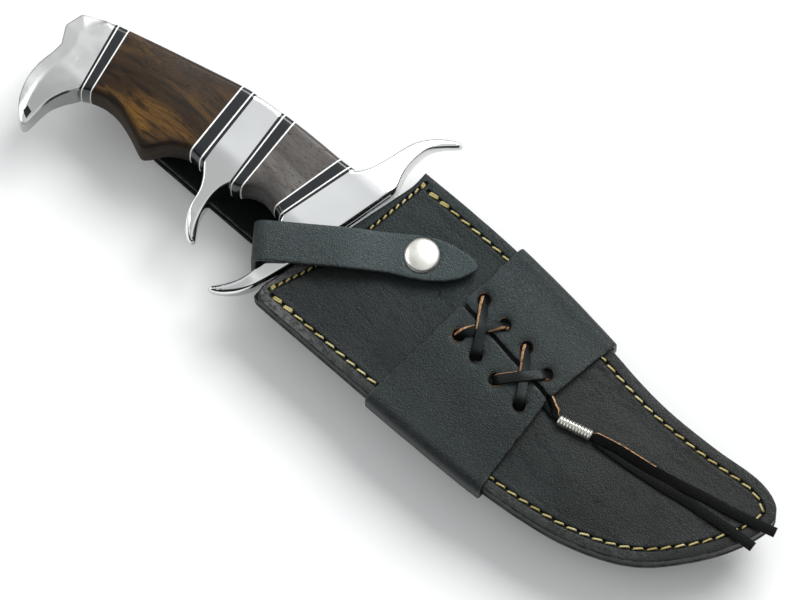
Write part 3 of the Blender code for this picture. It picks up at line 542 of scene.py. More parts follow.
def wood(name, dark, mid, light, streak, pores, swirl, spine_coat, sheen):
    """Figured hardwood with its grain along the handle, open pores and an oil polish. The spine coat is how far the
    figure turns a dull grey-brown toward the spine, on the rear wood a painted sheen along its top; the facet
    attribute paints the lower side walls near black, a painted shade."""
    look = Look(name, mid, 0.3, Specular_IOR_Level=sheen)
    warp = look.warped(26.0, 1.0, swirl)

    def stretched(across, along):
        return look.mapped((along, across, across), math.radians(-10), warp)

    figure = look.noise(1.5, 4.0, 0.6, stretched(46.0, 12.0), 0.7)
    bands = look.noise(4.2, 3.0, 0.55, stretched(95.0, 9.0), 0.6)
    fine = look.noise(6.0, 3.0, 0.6, stretched(330.0, 34.0))
    pits = look.remap(look.noise(3.0, 2.0, 0.5, stretched(900.0, 130.0)), 0.60, 0.67)
    facet = look.attribute("facet")
    look.base = look.ramp(figure, [(0.34, dark), (0.50, mid), (0.66, light)])
    look.coat(look.remap(bands, 0.50, 0.64), streak, shade(dark, 0.45))
    look.coat(look.remap(fine, 0.35, 0.7), 0.35, shade(mid, 0.6))
    # Painted sheen: toward the spine the figure turns a dull grey-brown; on the front wood this gives back a darker
    # brown where its painted pale sheen stops.
    look.coat(look.remap(look.split["Y"], -0.012, 0.016), spine_coat, (0.034, 0.024, 0.017))
    look.coat(pits, pores, shade(dark, 0.15))
    # Painted shade: the lower side walls, where facet is high, are darkened near black.
    look.coat(facet, 0.8, (0.006, 0.004, 0.0025))
    rough = look.math("ADD", look.remap(figure, 0.2, 0.8, 0.27, 0.40), look.times(facet, 0.3))
    look.give(Base_Color=look.base, Roughness=rough)
    look.bump(look.math("SUBTRACT", 1.0, pits), 0.00007, 0.6)
    look.bump(fine, 0.00003, 0.5)
    return look.mat


def steel(name, colour, roughness, rim=0.1, brushed=0.0):
    """Polished steel with faint polishing waves, or fine lines along X if brushed; rim paints its edges darker, a
    painted dark reflection.
    """
    look = Look(name, colour, roughness, Metallic=1.0)
    haze = look.remap(look.noise(90.0, 3.0, 0.6), 0.3, 0.7, roughness * 0.8, roughness * 1.35)
    look.bump(look.noise(34.0, 1.0), 0.0008, 0.9)
    # Painted reflection: the edges are darkened as the dark surroundings they would mirror.
    look.coat(look.remap(look.attribute("edge"), 0.15, 0.7, 1.0, 0.0), rim, shade(colour, 0.35))
    look.give(Base_Color=look.base, Roughness=haze)
    if brushed:
        look.bump(look.noise(2.0, 3.0, 0.7, look.mapped((120.0, 4200.0, 4200.0))), 0.00002, brushed)
    return look.mat


def resin(name, colour, roughness):
    look = Look(name, colour, roughness)
    look.coat(look.remap(look.noise(700.0, 2.0), 0.5, 0.8), 0.3, tuple(min(1.0, c * 1.5 + 0.01) for c in colour))
    look.give(Base_Color=look.base)
    look.bump(look.noise(260.0, 2.0), 0.00003, 0.4)
    return look.mat


def waxed_thread():
    look = Look("waxed_thread", (0.5, 0.4, 0.14), 0.6)
    fuzz = look.noise(1900.0, 2.0)
    look.base = look.ramp(look.noise(75.0, 3.0), [(0.32, (0.30, 0.23, 0.070)), (0.48, (0.42, 0.36, 0.145)),
                                                  (0.66, (0.56, 0.52, 0.28))])
    look.coat(look.remap(fuzz, 0.35, 0.6, 1.0, 0.0), 0.45, (0.22, 0.15, 0.04))
    look.give(Base_Color=look.base)
    look.bump(fuzz, 0.00006, 0.6)
    return look.mat


def raw_edge(name, share, tone=1.0):
    """The undyed flesh at a lace's edge or a punched hole's rim, dyed black again over all but a share of it."""
    look = Look(name, (0.3, 0.17, 0.09), 0.8, Specular_IOR_Level=0.3)
    fibre = look.noise(620.0, 4.0, 0.7)
    tan = look.ramp(fibre, [(0.33, shade((0.07, 0.035, 0.018), tone)), (0.48, shade((0.33, 0.175, 0.085), tone)),
                            (0.7, shade((0.56, 0.36, 0.20), tone))])
    middle = 0.72 - 0.44 * share
    dyed = look.remap(look.noise(150.0, 3.0, 0.6), middle - 0.05, middle + 0.05)
    look.give(Base_Color=look.mix(dyed, (0.012, 0.011, 0.010), tan))
    look.bump(fibre, 0.0002, 0.7)
    return look.mat


# For each: name, tone, grain, depth, sheen and edge scuff (also a painted edge highlight), and for some creases,
# strip and tint
BLACK_LEATHER = leather("sheath_leather", 0.85, 1750.0, 0.00022, 0.24, 0.35, 0.6, 1.0)
EDGE_LEATHER = leather("edge_leather", 0.45, 1750.0, 0.00014, 0.14, 0.12)
# Painted shade: the belt loop is the sheath's black leather at a much lower tone, for the loop lying under the
# handle and sheath.
LOOP_LEATHER_PAINTED_SHADE = leather("loop_leather", 0.30, 1750.0, 0.00014, 0.10, 0.30)
BAND_LEATHER = leather("band_leather", 1.0, 1800.0, 0.00034, 0.30, 0.40, 0.3, tint=COOL_TINT)
# Painted sheen: the strap is the same black leather at a higher tone, a lit copy for the light its slope catches.
STRAP_LEATHER_PAINTED_SHEEN = leather("strap_leather", 1.7, 1800.0, 0.00030, 0.42, 0.25, 0.3, tint=COOL_TINT)
LACE_LEATHER = leather("lace_leather", 0.45, 1900.0, 0.00014, 0.24, 0.0)
TAIL_LEATHER = leather("tail_leather", 0.25, 1900.0, 0.00014, 0.06, 0.0)
MIRROR = steel("mirror_steel", (0.88, 0.885, 0.88), 0.08, 0.6)
POMMEL_STEEL = steel("pommel_steel", (0.72, 0.72, 0.715), 0.20, 0.7)
FERRULE_STEEL = steel("ferrule_steel", (0.44, 0.43, 0.40), 0.30)
BLADE_STEEL = steel("blade_steel", (0.70, 0.71, 0.73), 0.16, brushed=0.5)
SNAP_STEEL = steel("snap_steel", (0.98, 0.96, 0.90), 0.28)
DULL_STEEL = steel("fitting_steel", (0.62, 0.62, 0.62), 0.3)
# The rear wood's 0.8 coat toward the spine is a painted grey sheen along its top.
REAR_WOOD_LOOK = wood("rear_wood", (0.008, 0.005, 0.003), (0.034, 0.017, 0.006), (0.150, 0.074, 0.013), 0.8,
                      0.6, 0.014, 0.8, 0.16)
# Painted sheen: the front wood's pale blue-grey mid and light colours stand for the bluish sheen on its polish; its
# dark colour, pores and brown toward the spine are its own.
FRONT_WOOD_LOOK = wood("front_wood", (0.045, 0.034, 0.026), (0.205, 0.197, 0.188), (0.40, 0.415, 0.43), 0.25,
                       1.0, 0.004, 0.85, 0.40)
BLACK_RESIN = resin("black_spacer", (0.006, 0.008, 0.010), 0.13)
WHITE_RESIN = resin("white_spacer", (0.82, 0.82, 0.79), 0.3)
THREAD = waxed_thread()
RAW = raw_edge("raw_lace_edge", 0.85)
RIM_RAW = raw_edge("raw_hole_rim", 0.3, 0.17)


# Sheath

SPINE_CURVE = smooth(SPINE_EDGE, 10)
BELLY_CURVE = smooth(BELLY_EDGE, 10)
MOUTH_CURVE = smooth(MOUTH_EDGE, 8)


def sheath_outline(corner):
    """The sheath's rim as a loop, its lower mouth corner rounded by corner."""
    pivot = MOUTH_CURVE[0]
    belly, mouth = ([p for p in run if (p - pivot).length > corner] for run in (BELLY_CURVE, MOUTH_CURVE))
    bend = [belly[-1].lerp(pivot, t).lerp(pivot.lerp(mouth[0], t), t) for t in (0.25, 0.5, 0.75)]
    loop = SPINE_CURVE[:-1] + belly + bend + mouth[:-1]
    return resample(loop + loop[:1], 1.6)[:-1]


def stitch_line():
    run = offset(resample(SPINE_CURVE[:-1] + BELLY_CURVE, 1.5), STITCH_INSET)
    run = run[(run[:, 0] > 14.8) | (run[:, 1] < 0)]
    return run[(run[:, 0] > -4.0) | (run[:, 1] > 0)]


def needle_holes(line, pitch):
    arr, run = table_of(line)
    return sample(np.linspace(0, run[-1], int(run[-1] // pitch) + 1), run, arr)


RIM_LINE = stitch_line()
MOUTH_LINE = resample(smooth(MOUTH_ROW, 6), 1.5)
RIM_HOLES = needle_holes(RIM_LINE, STITCH_PITCH)
MOUTH_HOLES = needle_holes(MOUTH_LINE, MOUTH_PITCH)


def seam_points(lines, holes):
    """Extra mesh points that carry the stitch groove and its needle holes."""
    sets = []
    for line in lines:
        fine = resample(line, 0.9)
        sets += [fine] + [offset(fine, d) for d in (0.5, -0.5, 1.1, -1.1, 1.6, -1.6)]
    for hole in np.vstack(holes):
        sets += [circle(hole, NEEDLE, 6), circle(hole, 0.95, 9)]
    cells = {}
    for p in np.concatenate(sets):
        cells.setdefault((round(p[0] / 0.3), round(p[1] / 0.3)), p)
    return np.array(list(cells.values()))


def seam_relief(lines, holes):
    spots = np.vstack(holes)

    def relief(points, d):
        away = distances(points, lines)
        groove = -0.55 * (1 - ease(away, 0.45, 1.15)) + 0.12 * np.exp(-((away - 1.6) / 0.5) ** 2)
        return groove - 0.8 * (1 - ease(nearest(points, spots), NEEDLE, 0.95))
    return relief


FRONT_SEAMS = ([RIM_LINE, MOUTH_LINE], [RIM_HOLES, MOUTH_HOLES])
BACK_SEAMS = ([RIM_LINE], [RIM_HOLES])


def front_relief(points, d):
    """The front's leather, moulded a little over the blade and rubbed down along its rim."""
    seam = seam_relief(*FRONT_SEAMS)(points, d) - 0.4 * (1 - ease(distances(points, [NICK]), 0.2, 0.6))
    dome = 0.25 * ease(d, 9, 24) * ease(points[:, 0], -5, 30)
    wave = 0.20 * ripple(points[:, 0], points[:, 1], 3, 42) * ease(d, 3, 16)
    return seam + dome + wave - 0.12 * (1 - ease(d, 0.8, 4.5))


def back_form(points, d):
    top, low = leather_form(0.0, LEATHER, 0.8, seam_relief(*BACK_SEAMS))(points, d)
    return BACK_Z + LEATHER / 2 - low, BACK_Z + LEATHER / 2 - top


def panels():
    extra = np.vstack([seam_points(*FRONT_SEAMS), resample(NICK, 0.4), circle(NICK[1], 0.7, 8),
                       circle(NICK[1], 1.3, 10)])
    plate("sheath_front", ["front_panel"], sheath_outline(5.0),
          leather_form(FRONT_Z + LEATHER / 2, LEATHER, 0.9, front_relief), BLACK_LEATHER, "sheath",
          round_rings(0.9) + [2.2, 3.6], 1.5, [circle(SNAP, 2.0, 16)], extra, seams=[*FRONT_SEAMS[0], NICK])
    plate("sheath_back", ["back_panel"], sheath_outline(1.5), back_form, BLACK_LEATHER, "sheath",
          round_rings(0.8), 2.0, (), seam_points(*BACK_SEAMS), seams=BACK_SEAMS[0])


def welt():
    run = resample(SPINE_CURVE[:-1] + BELLY_CURVE, 2.0)
    outer = offset(run, 0.35)
    outline = resample(np.vstack([outer, offset(run, 9.6)[::-1], outer[:1]]), 2.0)[:-1]

    def form(points, d):
        fall = 0.5 * (1 - ease(d, 0, 0.7))
        return WELT_Z + WELT_T + 0.2 - fall, WELT_Z - 0.2 + fall

    plate("sheath_welt", ["welt"], outline, form, EDGE_LEATHER, "sheath", [0.35, 0.7], 3.0)


def stitches(name, node, row, sign=1.0, level=FRONT_TOP, doubled=()):
    """Saddle stitches: each a twisted two-ply thread that dives into its needle holes."""
    verts, faces = [], []
    sides, stations = 8, 11
    serial = 0
    for k, (a, b) in enumerate(zip(row[:-1], row[1:])):
        twice = k in doubled or k - len(row) + 1 in doubled
        for p in range(2 if twice else 1):
            serial += 1
            run = Vector((*(b - a), 0))
            length = run.length
            run.normalize()
            side = Vector((-run.y, run.x, 0))
            lean = 0.34 + 0.07 * math.sin(serial * 2.3)
            shift = (p - 0.5) * 0.80 if twice else 0.06 * math.sin(serial * 1.7)
            inset = min(0.60, length * 0.14)
            for plan in (ring_faces, cap_faces):
                faces += plan(stations, sides, len(verts))
            for m in range(stations):
                t = m / (stations - 1)
                dive = abs(2 * t - 1) ** 7
                height = 0.16 - 1.45 * dive + 0.04 * math.sin(serial)
                across = lean * (2 * t - 1) + shift * (1 - dive)
                centre = Vector((*a, 0)) + run * (inset + t * (length - 2 * inset)) + side * across
                for s in range(sides):
                    turn = math.tau * s / sides
                    radius = 0.46 * (1 - 0.22 * dive) * (1 + 0.14 * math.cos(2 * (turn - t * 11.0)))
                    spot = centre + side * math.cos(turn) * radius
                    verts.append((spot.x, spot.y, level + sign * (height + math.sin(turn) * radius)))
    make_mesh(name, [node], verts, faces, THREAD, "sheath", 60.0)


def seams():
    stitches("stitches_rim_front", "rim_stitching_front", RIM_HOLES, doubled=(0, 1, -1, -2))
    stitches("stitches_mouth", "mouth_stitching", MOUTH_HOLES, doubled=(0, -1))
    stitches("stitches_rim_back", "rim_stitching_back", RIM_HOLES, -1.0, BACK_Z)


# Knife

CASTING_RINGS = [0.05, 0.18, 0.38, 0.65, 1.0, 1.5, 2.1, 2.8]
GRIP_RADIUS = 2.3
SPINE_LIFT = 0.45
SIDE_BULGE = 0.9
TOP_TABLE = array_of(smooth([
    (-127, 5.9), (-121.6, 7.4), (-106, 11.6), (-88, 16.2), (-70, 20.7), (-64.2, 21.6), (-50.2, 22.9), (-44.1, 23.3),
    (-32, 23.7), (-19.9, 23.8), (-12.9, 24.3)], 6)) + (0, SPINE_LIFT)
GRIP_TABLE = array_of(smooth([
    (-120.2, -24.4), (-116, -22), (-112, -20.6), (-108.6, -19.9), (-104, -19.9), (-99.8, -20.6), (-93, -22.8),
    (-87, -25.4), (-84.1, -26), (-81.6, -23.8), (-79.4, -20.6), (-76.6, -17.6), (-72.5, -15), (-68.5, -13.5),
    (-62.9, -13.8), (-54, -13.8), (-47.4, -13.2), (-44.4, -12.6), (-42.3, -11.2), (-41.1, -9.8), (-39.6, -8.7),
    (-36.8, -7.6), (-34.1, -7.1), (-30.8, -7.4), (-26.8, -8.3), (-21.7, -10)], 6))


def top_at(x):
    return Vector((x, float(height_on(TOP_TABLE, x))))


def grip_at(x):
    return Vector((x, float(height_on(GRIP_TABLE, x))))


def box_section(width, height, radius, face=14, side=7):
    """A rounded box's outline as (across, up) pairs, with the same number of points whatever its size."""
    w, h = width - radius, height - radius
    half = [(width, -h + 2 * h * k / side) for k in range(side)]
    half += arc(w, h, radius, 0, side)[:-1]
    half += [(w - 2 * w * k / face, height) for k in range(face)]
    half += arc(-w, h, radius, 90, side)[:-1]
    return half + [(-a, -b) for a, b in half]


def grip_ring(cut, shrink=0.0, crown=0.0):
    """The handle's section at a slanting cut, its faces crowned a little."""
    a, b = top_at(cut[0]), grip_at(cut[1])
    mid, half = (a + b) / 2, (a - b) / 2
    w = half.length
    ring = []
    for across, up in box_section(w - shrink, HANDLE_H - shrink, GRIP_RADIUS):
        swell = SIDE_BULGE * (1 - (up / HANDLE_H) ** 2) * float(ease(-across / w, 0.7, 0.95))
        p = mid + half * ((across - swell) / w)
        lift = 1 + crown * (1 - (across / w) ** 2) - 0.012 * (across / w) ** 2
        ring.append((p.x, p.y, KNIFE_Z + up * lift))
    return ring


def between(start, end, share):
    return tuple(a + share * (b - a) for a, b in zip(start, end))


def grip_loft(name, node, start, end, mat, step, lip, crown=0.0, shade_from=0.80):
    """A piece of the handle between two slanting cuts, each given by its x on the spine and on the grip side."""
    length = max(abs(b - a) for a, b in zip(start, end))
    count = max(2, int(length / step) + 1)
    shares = [k / (count - 1) for k in range(count)]
    rings = [grip_ring(between(start, end, t), 0.0, crown * math.sin(math.pi * t) ** 2) for t in shares]
    rings = [grip_ring(start, lip)] + rings + [grip_ring(end, lip)]
    width = 20.0
    # facet marks the lower side wall, which the wood's look paints near black as shade.
    facet = [float(ease(-a / width, shade_from, 0.93)) for a, _ in box_section(width, HANDLE_H, GRIP_RADIUS)]
    sides = len(facet)
    make_mesh(name, [node], [p for ring in rings for p in ring],
              ring_faces(len(rings), sides) + cap_faces(len(rings), sides), mat, "knife", 50.0,
              {"facet": facet * len(rings)})


CUTS = {"pommel": ((-127.0, -120.2), (-120.9, -115.6)), "rear_grip": ((-70.5, -68.7), (-63.7, -61.4)),
        "sub_guard": ((-50.8, -47.6), (-43.9, -42.3)), "guard": ((-19.9, -26.9), (-12.9, -21.7))}
FORWARD = ["thin_black", "rear_white", "thick_black", "fore_white"]
BACKWARD = ["rear_white", "thick_black", "fore_white", "thin_black"]
ORDERS = {"pommel": FORWARD, "rear_grip": BACKWARD, "sub_guard": FORWARD, "guard": BACKWARD}
SHARES = {"thin_black": 1.15, "thick_black": 4.1, "rear_white": 0.58, "fore_white": 0.58}


def handle():
    whole = sum(SHARES.values())
    for stack, order in ORDERS.items():
        done = 0.0
        for layer in order:
            ends = [between(*CUTS[stack], share / whole) for share in (done, done + SHARES[layer])]
            mat = WHITE_RESIN if "white" in layer else BLACK_RESIN
            grip_loft(f"{stack}_{layer}", f"{stack}_{layer}_spacer", *ends, mat, 1.0, 0.05)
            done += SHARES[layer]
    grip_loft("rear_wood", "rear_wood_grip", CUTS["pommel"][1], CUTS["rear_grip"][0], REAR_WOOD_LOOK, 0.9, 0.06,
              0.07)
    grip_loft("front_wood", "front_wood_grip", CUTS["sub_guard"][1], CUTS["guard"][0], FRONT_WOOD_LOOK, 0.9, 0.06,
              0.03, 0.40)


def casting(name, node, outline, junctions, thickness, radius, mat, facet=None, relief=None, extra=None):
    """A polished fitting: full thickness at its junctions with the handle, rounded or faceted at its other edges."""
    loop = resample(closed(array_of(outline)), 1.0)[:-1]
    junctions = [array_of(line) for line in junctions]
    rounding = [np.array(seg) for seg in zip(loop, np.roll(loop, -1, 0))
                if distances(np.array([(seg[0] + seg[1]) / 2]), junctions)[0] > 0.3]

    def form(points, d):
        x, y = points[:, 0], points[:, 1]
        half = thickness(x, y)
        near = 1 - ease(distances(points, junctions), 0.5, 6.0)
        r = radius(x, y)
        r = np.minimum(r + (GRIP_RADIUS - r) * near * ease(y, -6, 6), half)
        inner = r - np.minimum(d, r)
        h = half - r + np.sqrt(np.maximum(r ** 2 - inner ** 2, 0))
        if facet:
            width, drop = facet(x, y)
            h = np.minimum(h, half - drop * (1 - near) * (1 - np.minimum(d / width, 1)))
        return KNIFE_Z + (h + relief(points) if relief else h), KNIFE_Z - h

    return plate(name, [node], loop, form, mat, "knife", CASTING_RINGS, 1.0, (), extra, rounding=rounding,
                 sharp=34.0)


def guard():
    upper = smooth([
        (-11.8, 25.4), (-10.4, 26.7), (-8.5, 28.9), (-6.9, 33.3), (-5.4, 39.2), (-4.1, 45.5), (-2.8, 50.4),
        (-0.6, 54.6), (2.4, 58.2), (6.6, 61.5), (10.8, 63.5), (12.6, 63.2), (12.6, 61.6), (7.5, 56.8), (4.1, 52.3),
        (2.8, 46.9), (2.5, 40.9), (3.4, 36), (5, 31.6), (5.4, 29.6)], 5)
    lower = smooth([
        (-6.9, -23.4), (-9, -29.3), (-10.8, -34.6), (-12.4, -39.6), (-14.8, -44.2), (-17.6, -47.4), (-20.8, -50),
        (-23.9, -51.6), (-25.9, -51.6), (-26, -49.9), (-23, -46.3), (-20.4, -42.9), (-18.2, -39.3), (-16.9, -35.2),
        (-15.8, -30.4), (-15.6, -26), (-16.8, -20.8), (-19.4, -15.6), (-21.2, -11.8)], 5)
    joint = [top_at(-12.86), grip_at(-21.66)]

    def thickness(x, y):
        up = 1 - 0.40 * ease(y, 22, 50) - 0.26 * ease(y, 44, 62)
        down = 1 - 0.46 * ease(-y, 6, 36) - 0.22 * ease(-y, 36, 51)
        return HANDLE_H * up * down - 0.012 * (x + 18) + 0.07 * ripple(x, y, 4, 22)

    def radius(x, y):
        return 0.8 + 1.2 * ease(y, 36, 60) + 2.5 * ease(-y, 32, 49)

    casting("guard_polished", "guard", [joint[0], *upper, *lower, joint[1]], [joint], thickness, radius, MIRROR)


def sub_guard():
    a0, a1 = top_at(-63.64), grip_at(-61.34)
    b0, b1 = top_at(-50.86), grip_at(-47.66)
    hook = smooth([
        (-49.2, -17), (-49.8, -21.4), (-49.4, -26.3), (-48.4, -30.4), (-46.5, -34.5), (-44, -38.4), (-42.9, -40.2),
        (-43.5, -41.6), (-46.3, -41.5), (-49.9, -38.6), (-52.9, -34.2), (-54.4, -29.6), (-55, -25.2),
        (-55.9, -21.8), (-57.8, -18.2), (-60.2, -15.2)], 5)
    ridge = [a0.lerp(b0, t) + Vector((0, 0.25 * math.sin(math.pi * t))) for t in (0, 0.25, 0.5, 0.75, 1)]

    def thickness(x, y):
        crown = 0.16 * (1 - ((x + 57) / 8) ** 2)
        return HANDLE_H * (1 - 0.46 * ease(-y, 3, 34) - 0.24 * ease(-y, 31, 42)) + crown

    def radius(x, y):
        return 0.8 + (GRIP_RADIUS - 0.8) * ease(y, 8, 16) + 2.6 * ease(-y, 28, 40)

    casting("sub_guard_polished", "sub_guard", [*ridge, b1, *hook, a1], [[a0, a1], [b0, b1]], thickness, radius,
            MIRROR)


LOZENGE = np.array([(-132.1, -43.0), (-129.1, -44.0), (-128.8, -47.6), (-132.1, -45.8)])


def lozenge(share):
    middle = LOZENGE.mean(0)
    return middle + (LOZENGE - middle) * share


def pommel():
    joint = [top_at(-127.0), grip_at(-120.2)]
    beak = smooth([
        (-123.8, -30.3), (-126, -35.4), (-126.8, -40.4), (-127, -44.6), (-127.2, -48), (-128.1, -50.2), (-130, -50),
        (-133.7, -47), (-137.2, -42.2), (-139.4, -36.6), (-140.2, -31), (-140, -25.4), (-138.9, -19.6),
        (-138.6, -14.6)], 5)
    ear = smooth([(-142.0, -8.4), (-142.4, -7.2), (-141.3, -3.2), (-140.4, -0.2), (-139.6, 0.7)], 3)

    def thickness(x, y):
        return HANDLE_H * (1 - 0.36 * ease(-y, 20, 50)) - 0.045 * (-x - 120) + 0.02 * ripple(x, y, 8, 16)

    def facet(x, y):
        outer = ease(-x, 129.5, 136.0)
        tip = ease(-y, 34, 46)
        return 1.1 + 4.9 * outer, 1.0 - 0.6 * tip * (1 - outer) - 0.1 * outer

    def relief(points):
        return -0.9 * inside(points, lozenge(0.93))

    steps = [resample(closed(lozenge(k)), 0.5) for k in (0.5, 0.8, 0.92, 0.96, 1.04)]
    made = casting("pommel_polished", "pommel", [joint[1], *beak, *ear, joint[0]], [joint], thickness,
                   lambda x, y: np.full(len(x), 0.45), POMMEL_STEEL, facet, relief, np.vstack(steps))
    made.data.materials.append(BLACK_RESIN)
    for face in made.data.polygons:
        at = np.array([face.center[:2]]) / MM
        if face.center.z > KNIFE_Z * MM and inside(at, lozenge(0.99))[0]:
            face.material_index = 1
    pin = HANDLE_H - 0.045 * 9.2 + 0.02
    profile = [(0, -pin), (0.9, -pin), (0.95, 0.05 - pin), (0.95, pin - 0.05), (0.9, pin), (0, pin)]
    lathe("pommel_pin_polished", ["pommel_pin"], [(r, KNIFE_Z + z) for r, z in profile], (-129.2, -15.4),
          DULL_STEEL, "knife", 24)


def blade():
    spine = array_of(smooth([
        (5.4, 27.6), (60, 27.3), (90, 27), (120, 25.6), (150, 23), (170, 22), (185, 22.2), (199.6, 23.8)], 6))
    edge = array_of(smooth([
        (199.6, 23.6), (191, 12.4), (182, 4.8), (172, -1), (160, -6.2), (145, -10.4), (125, -13.2), (100, -14.4),
        (14, -14.4), (10, -13.4), (-4.1, -13)], 6))
    grind = np.array([(14, 9), (60, 9), (110, 8.2), (140, 7.4), (165, 9.6), (185, 15), (199, 23.2)])
    clip = np.array([(118.0, 25.4), (140, 20.6), (160, 17.6), (180, 18.0), (199.0, 23.2)])
    thick = BLADE_T / 2

    def form(points, d):
        x, y = points[:, 0], points[:, 1]
        up, low = height_on(grind, x), height_on(edge[np.argsort(edge[:, 0])], x)
        back, top = height_on(clip, x), height_on(spine, x)
        fall = np.clip((up - y) / np.maximum(up - low, 1.0), 0, 1) * ease(x, 11.5, 15.5)
        swage = np.clip((y - back) / np.maximum(top - back, 0.8), 0, 1) * ease(x, 116, 124)
        half = np.minimum(thick * (1 - 0.90 * fall), thick * (1 - 0.62 * swage)) * (1 - 0.5 * ease(x, 150, 200))
        rim = 0.10 + 1.4 * d * ease(y, 6, -2) + 3.0 * ease(y, -2, 6)
        half = np.where(x > 15.5, np.minimum(half, rim), half)
        return KNIFE_Z + half, KNIFE_Z - half

    plate("blade_polished", ["blade"], resample(closed(np.vstack([spine, edge])), 1.6)[:-1], form, BLADE_STEEL,
          "knife", [0.5, 1.0], 2.0, (), np.vstack([resample(grind, 1.0), resample(clip, 1.0)]), sharp=14.0)


# Belt loop

LOOP_END = -81.5
LOOP_INSIDE = 9.0
LOOP_SIDES = (-20.3, 17.0)
LOOP_RIVETS = [(42.0, -10.0), (42.0, 7.0)]


def loop_path():
    half = LEATHER / 2
    inner = LOOP_INSIDE + half
    seat = BACK_Z - CLEARANCE - half
    outer = seat - LEATHER - CLEARANCE
    end = LOOP_END
    upper = smooth([(50.0, seat), (43, seat), (37, seat), (32, seat - 0.5), (25, seat - 3.6), (18, inner + 1.3),
                    (12, inner + 0.1), (4, inner), (-20, inner), (-50, inner), (end, inner)], 5)
    radius = (inner - half) / 2
    bend = arc(end, half + radius, radius, 90, 16, 180)[1:-1]
    lower = smooth([(end, half), (-50, half), (-10, half), (14, half), (21, half + 0.2), (25, half + 2.4),
                    (33, outer - 2.0), (37, outer - 0.2), (43, outer), (50, outer)], 5)
    return resample(upper + bend + lower, 0.8)


def carried(path):
    """A function that takes distances run along a path and heights above it to places, and the path's length."""
    arr, run = table_of(path)
    normal = right_of(np.gradient(arr, axis=0))

    def at(distance, height):
        return (sample(distance, run, arr) + sample(distance, run, normal) * height[:, None]).T
    return at, run[-1]


def rounded_box(low, high, radius, step=1.4):
    x0, y0, x1, y1 = low[0] + radius, low[1] + radius, high[0] - radius, high[1] - radius
    corners = [arc(x, y, radius, 90 * k, 6) for k, (x, y) in enumerate(((x1, y1), (x0, y1), (x0, y0), (x1, y0)))]
    return resample(closed(np.vstack(corners)), step)[:-1]


def rivet(name, node, centre, low, high, radius=4.2):
    head = [(radius * x, low + z) for x, z in arc(0, 0, 1, -90, 5)[1:]]
    lathe(name, [node], [(0, low - 1.0), *head, (1.8, low + 0.05), (1.8, high - 0.05), (radius, high),
                         (radius * 0.9, high + 0.35), (0, high + 0.45)], centre, DULL_STEEL, "sheath", 32)


def belt_loop():
    at, length = carried(loop_path())

    def place(points, height):
        x, z = at(points[:, 0], height)
        return np.column_stack([x, points[:, 1], z])

    def wave(points, d):
        return 0.05 * ripple(points[:, 0], points[:, 1], 9, 26)

    plate("belt_loop_leather", ["belt_loop"], rounded_box((0.0, LOOP_SIDES[0]), (length, LOOP_SIDES[1]), 2.0),
          leather_form(0.0, LEATHER, 0.8, wave), LOOP_LEATHER_PAINTED_SHADE, "sheath", round_rings(0.8), 1.8, place=place)
    for k, spot in enumerate(LOOP_RIVETS, 1):
        rivet(f"loop_rivet_{k}", f"belt_loop_rivet_{k}", spot, BACK_Z - 2 * (LEATHER + CLEARANCE),
              BACK_Z + LEATHER - 0.6)


# Strap


def strap_path():
    """The strap's middle line in (s, z), from its tip round the fold to its root."""
    corner = FOLD_S + STRAP_BEND
    flap = [(s, SNAP_MID_Z + (FLAP_MID_Z - SNAP_MID_Z) * float(1 - ease(s, -32, -10)))
            for s in np.arange(TIP_RUN, corner, -1.0)]
    fold = arc(corner, FLAP_MID_Z - STRAP_BEND, STRAP_BEND, 90, 11)
    fold += arc(corner, ROOT_MID_Z + STRAP_BEND, STRAP_BEND, 180, 11)
    return resample(flap + fold + [(s, ROOT_MID_Z) for s in np.arange(corner + 1, -33.0, 1.0)], 0.5)


STRAP_PATH = strap_path()
STRAP_AT, STRAP_LONG = carried(STRAP_PATH)


def strap_point(s, t):
    c, n = math.cos(STRAP_ANGLE), math.sin(STRAP_ANGLE)
    return SNAP[0] + s * c - t * n, SNAP[1] + s * n + t * c


def strap_place(points, height):
    """Plate points are (distance run back from the tip, place across the strap)."""
    s, z = STRAP_AT(points[:, 0], height)
    return np.column_stack([*strap_point(s, points[:, 1]), z])


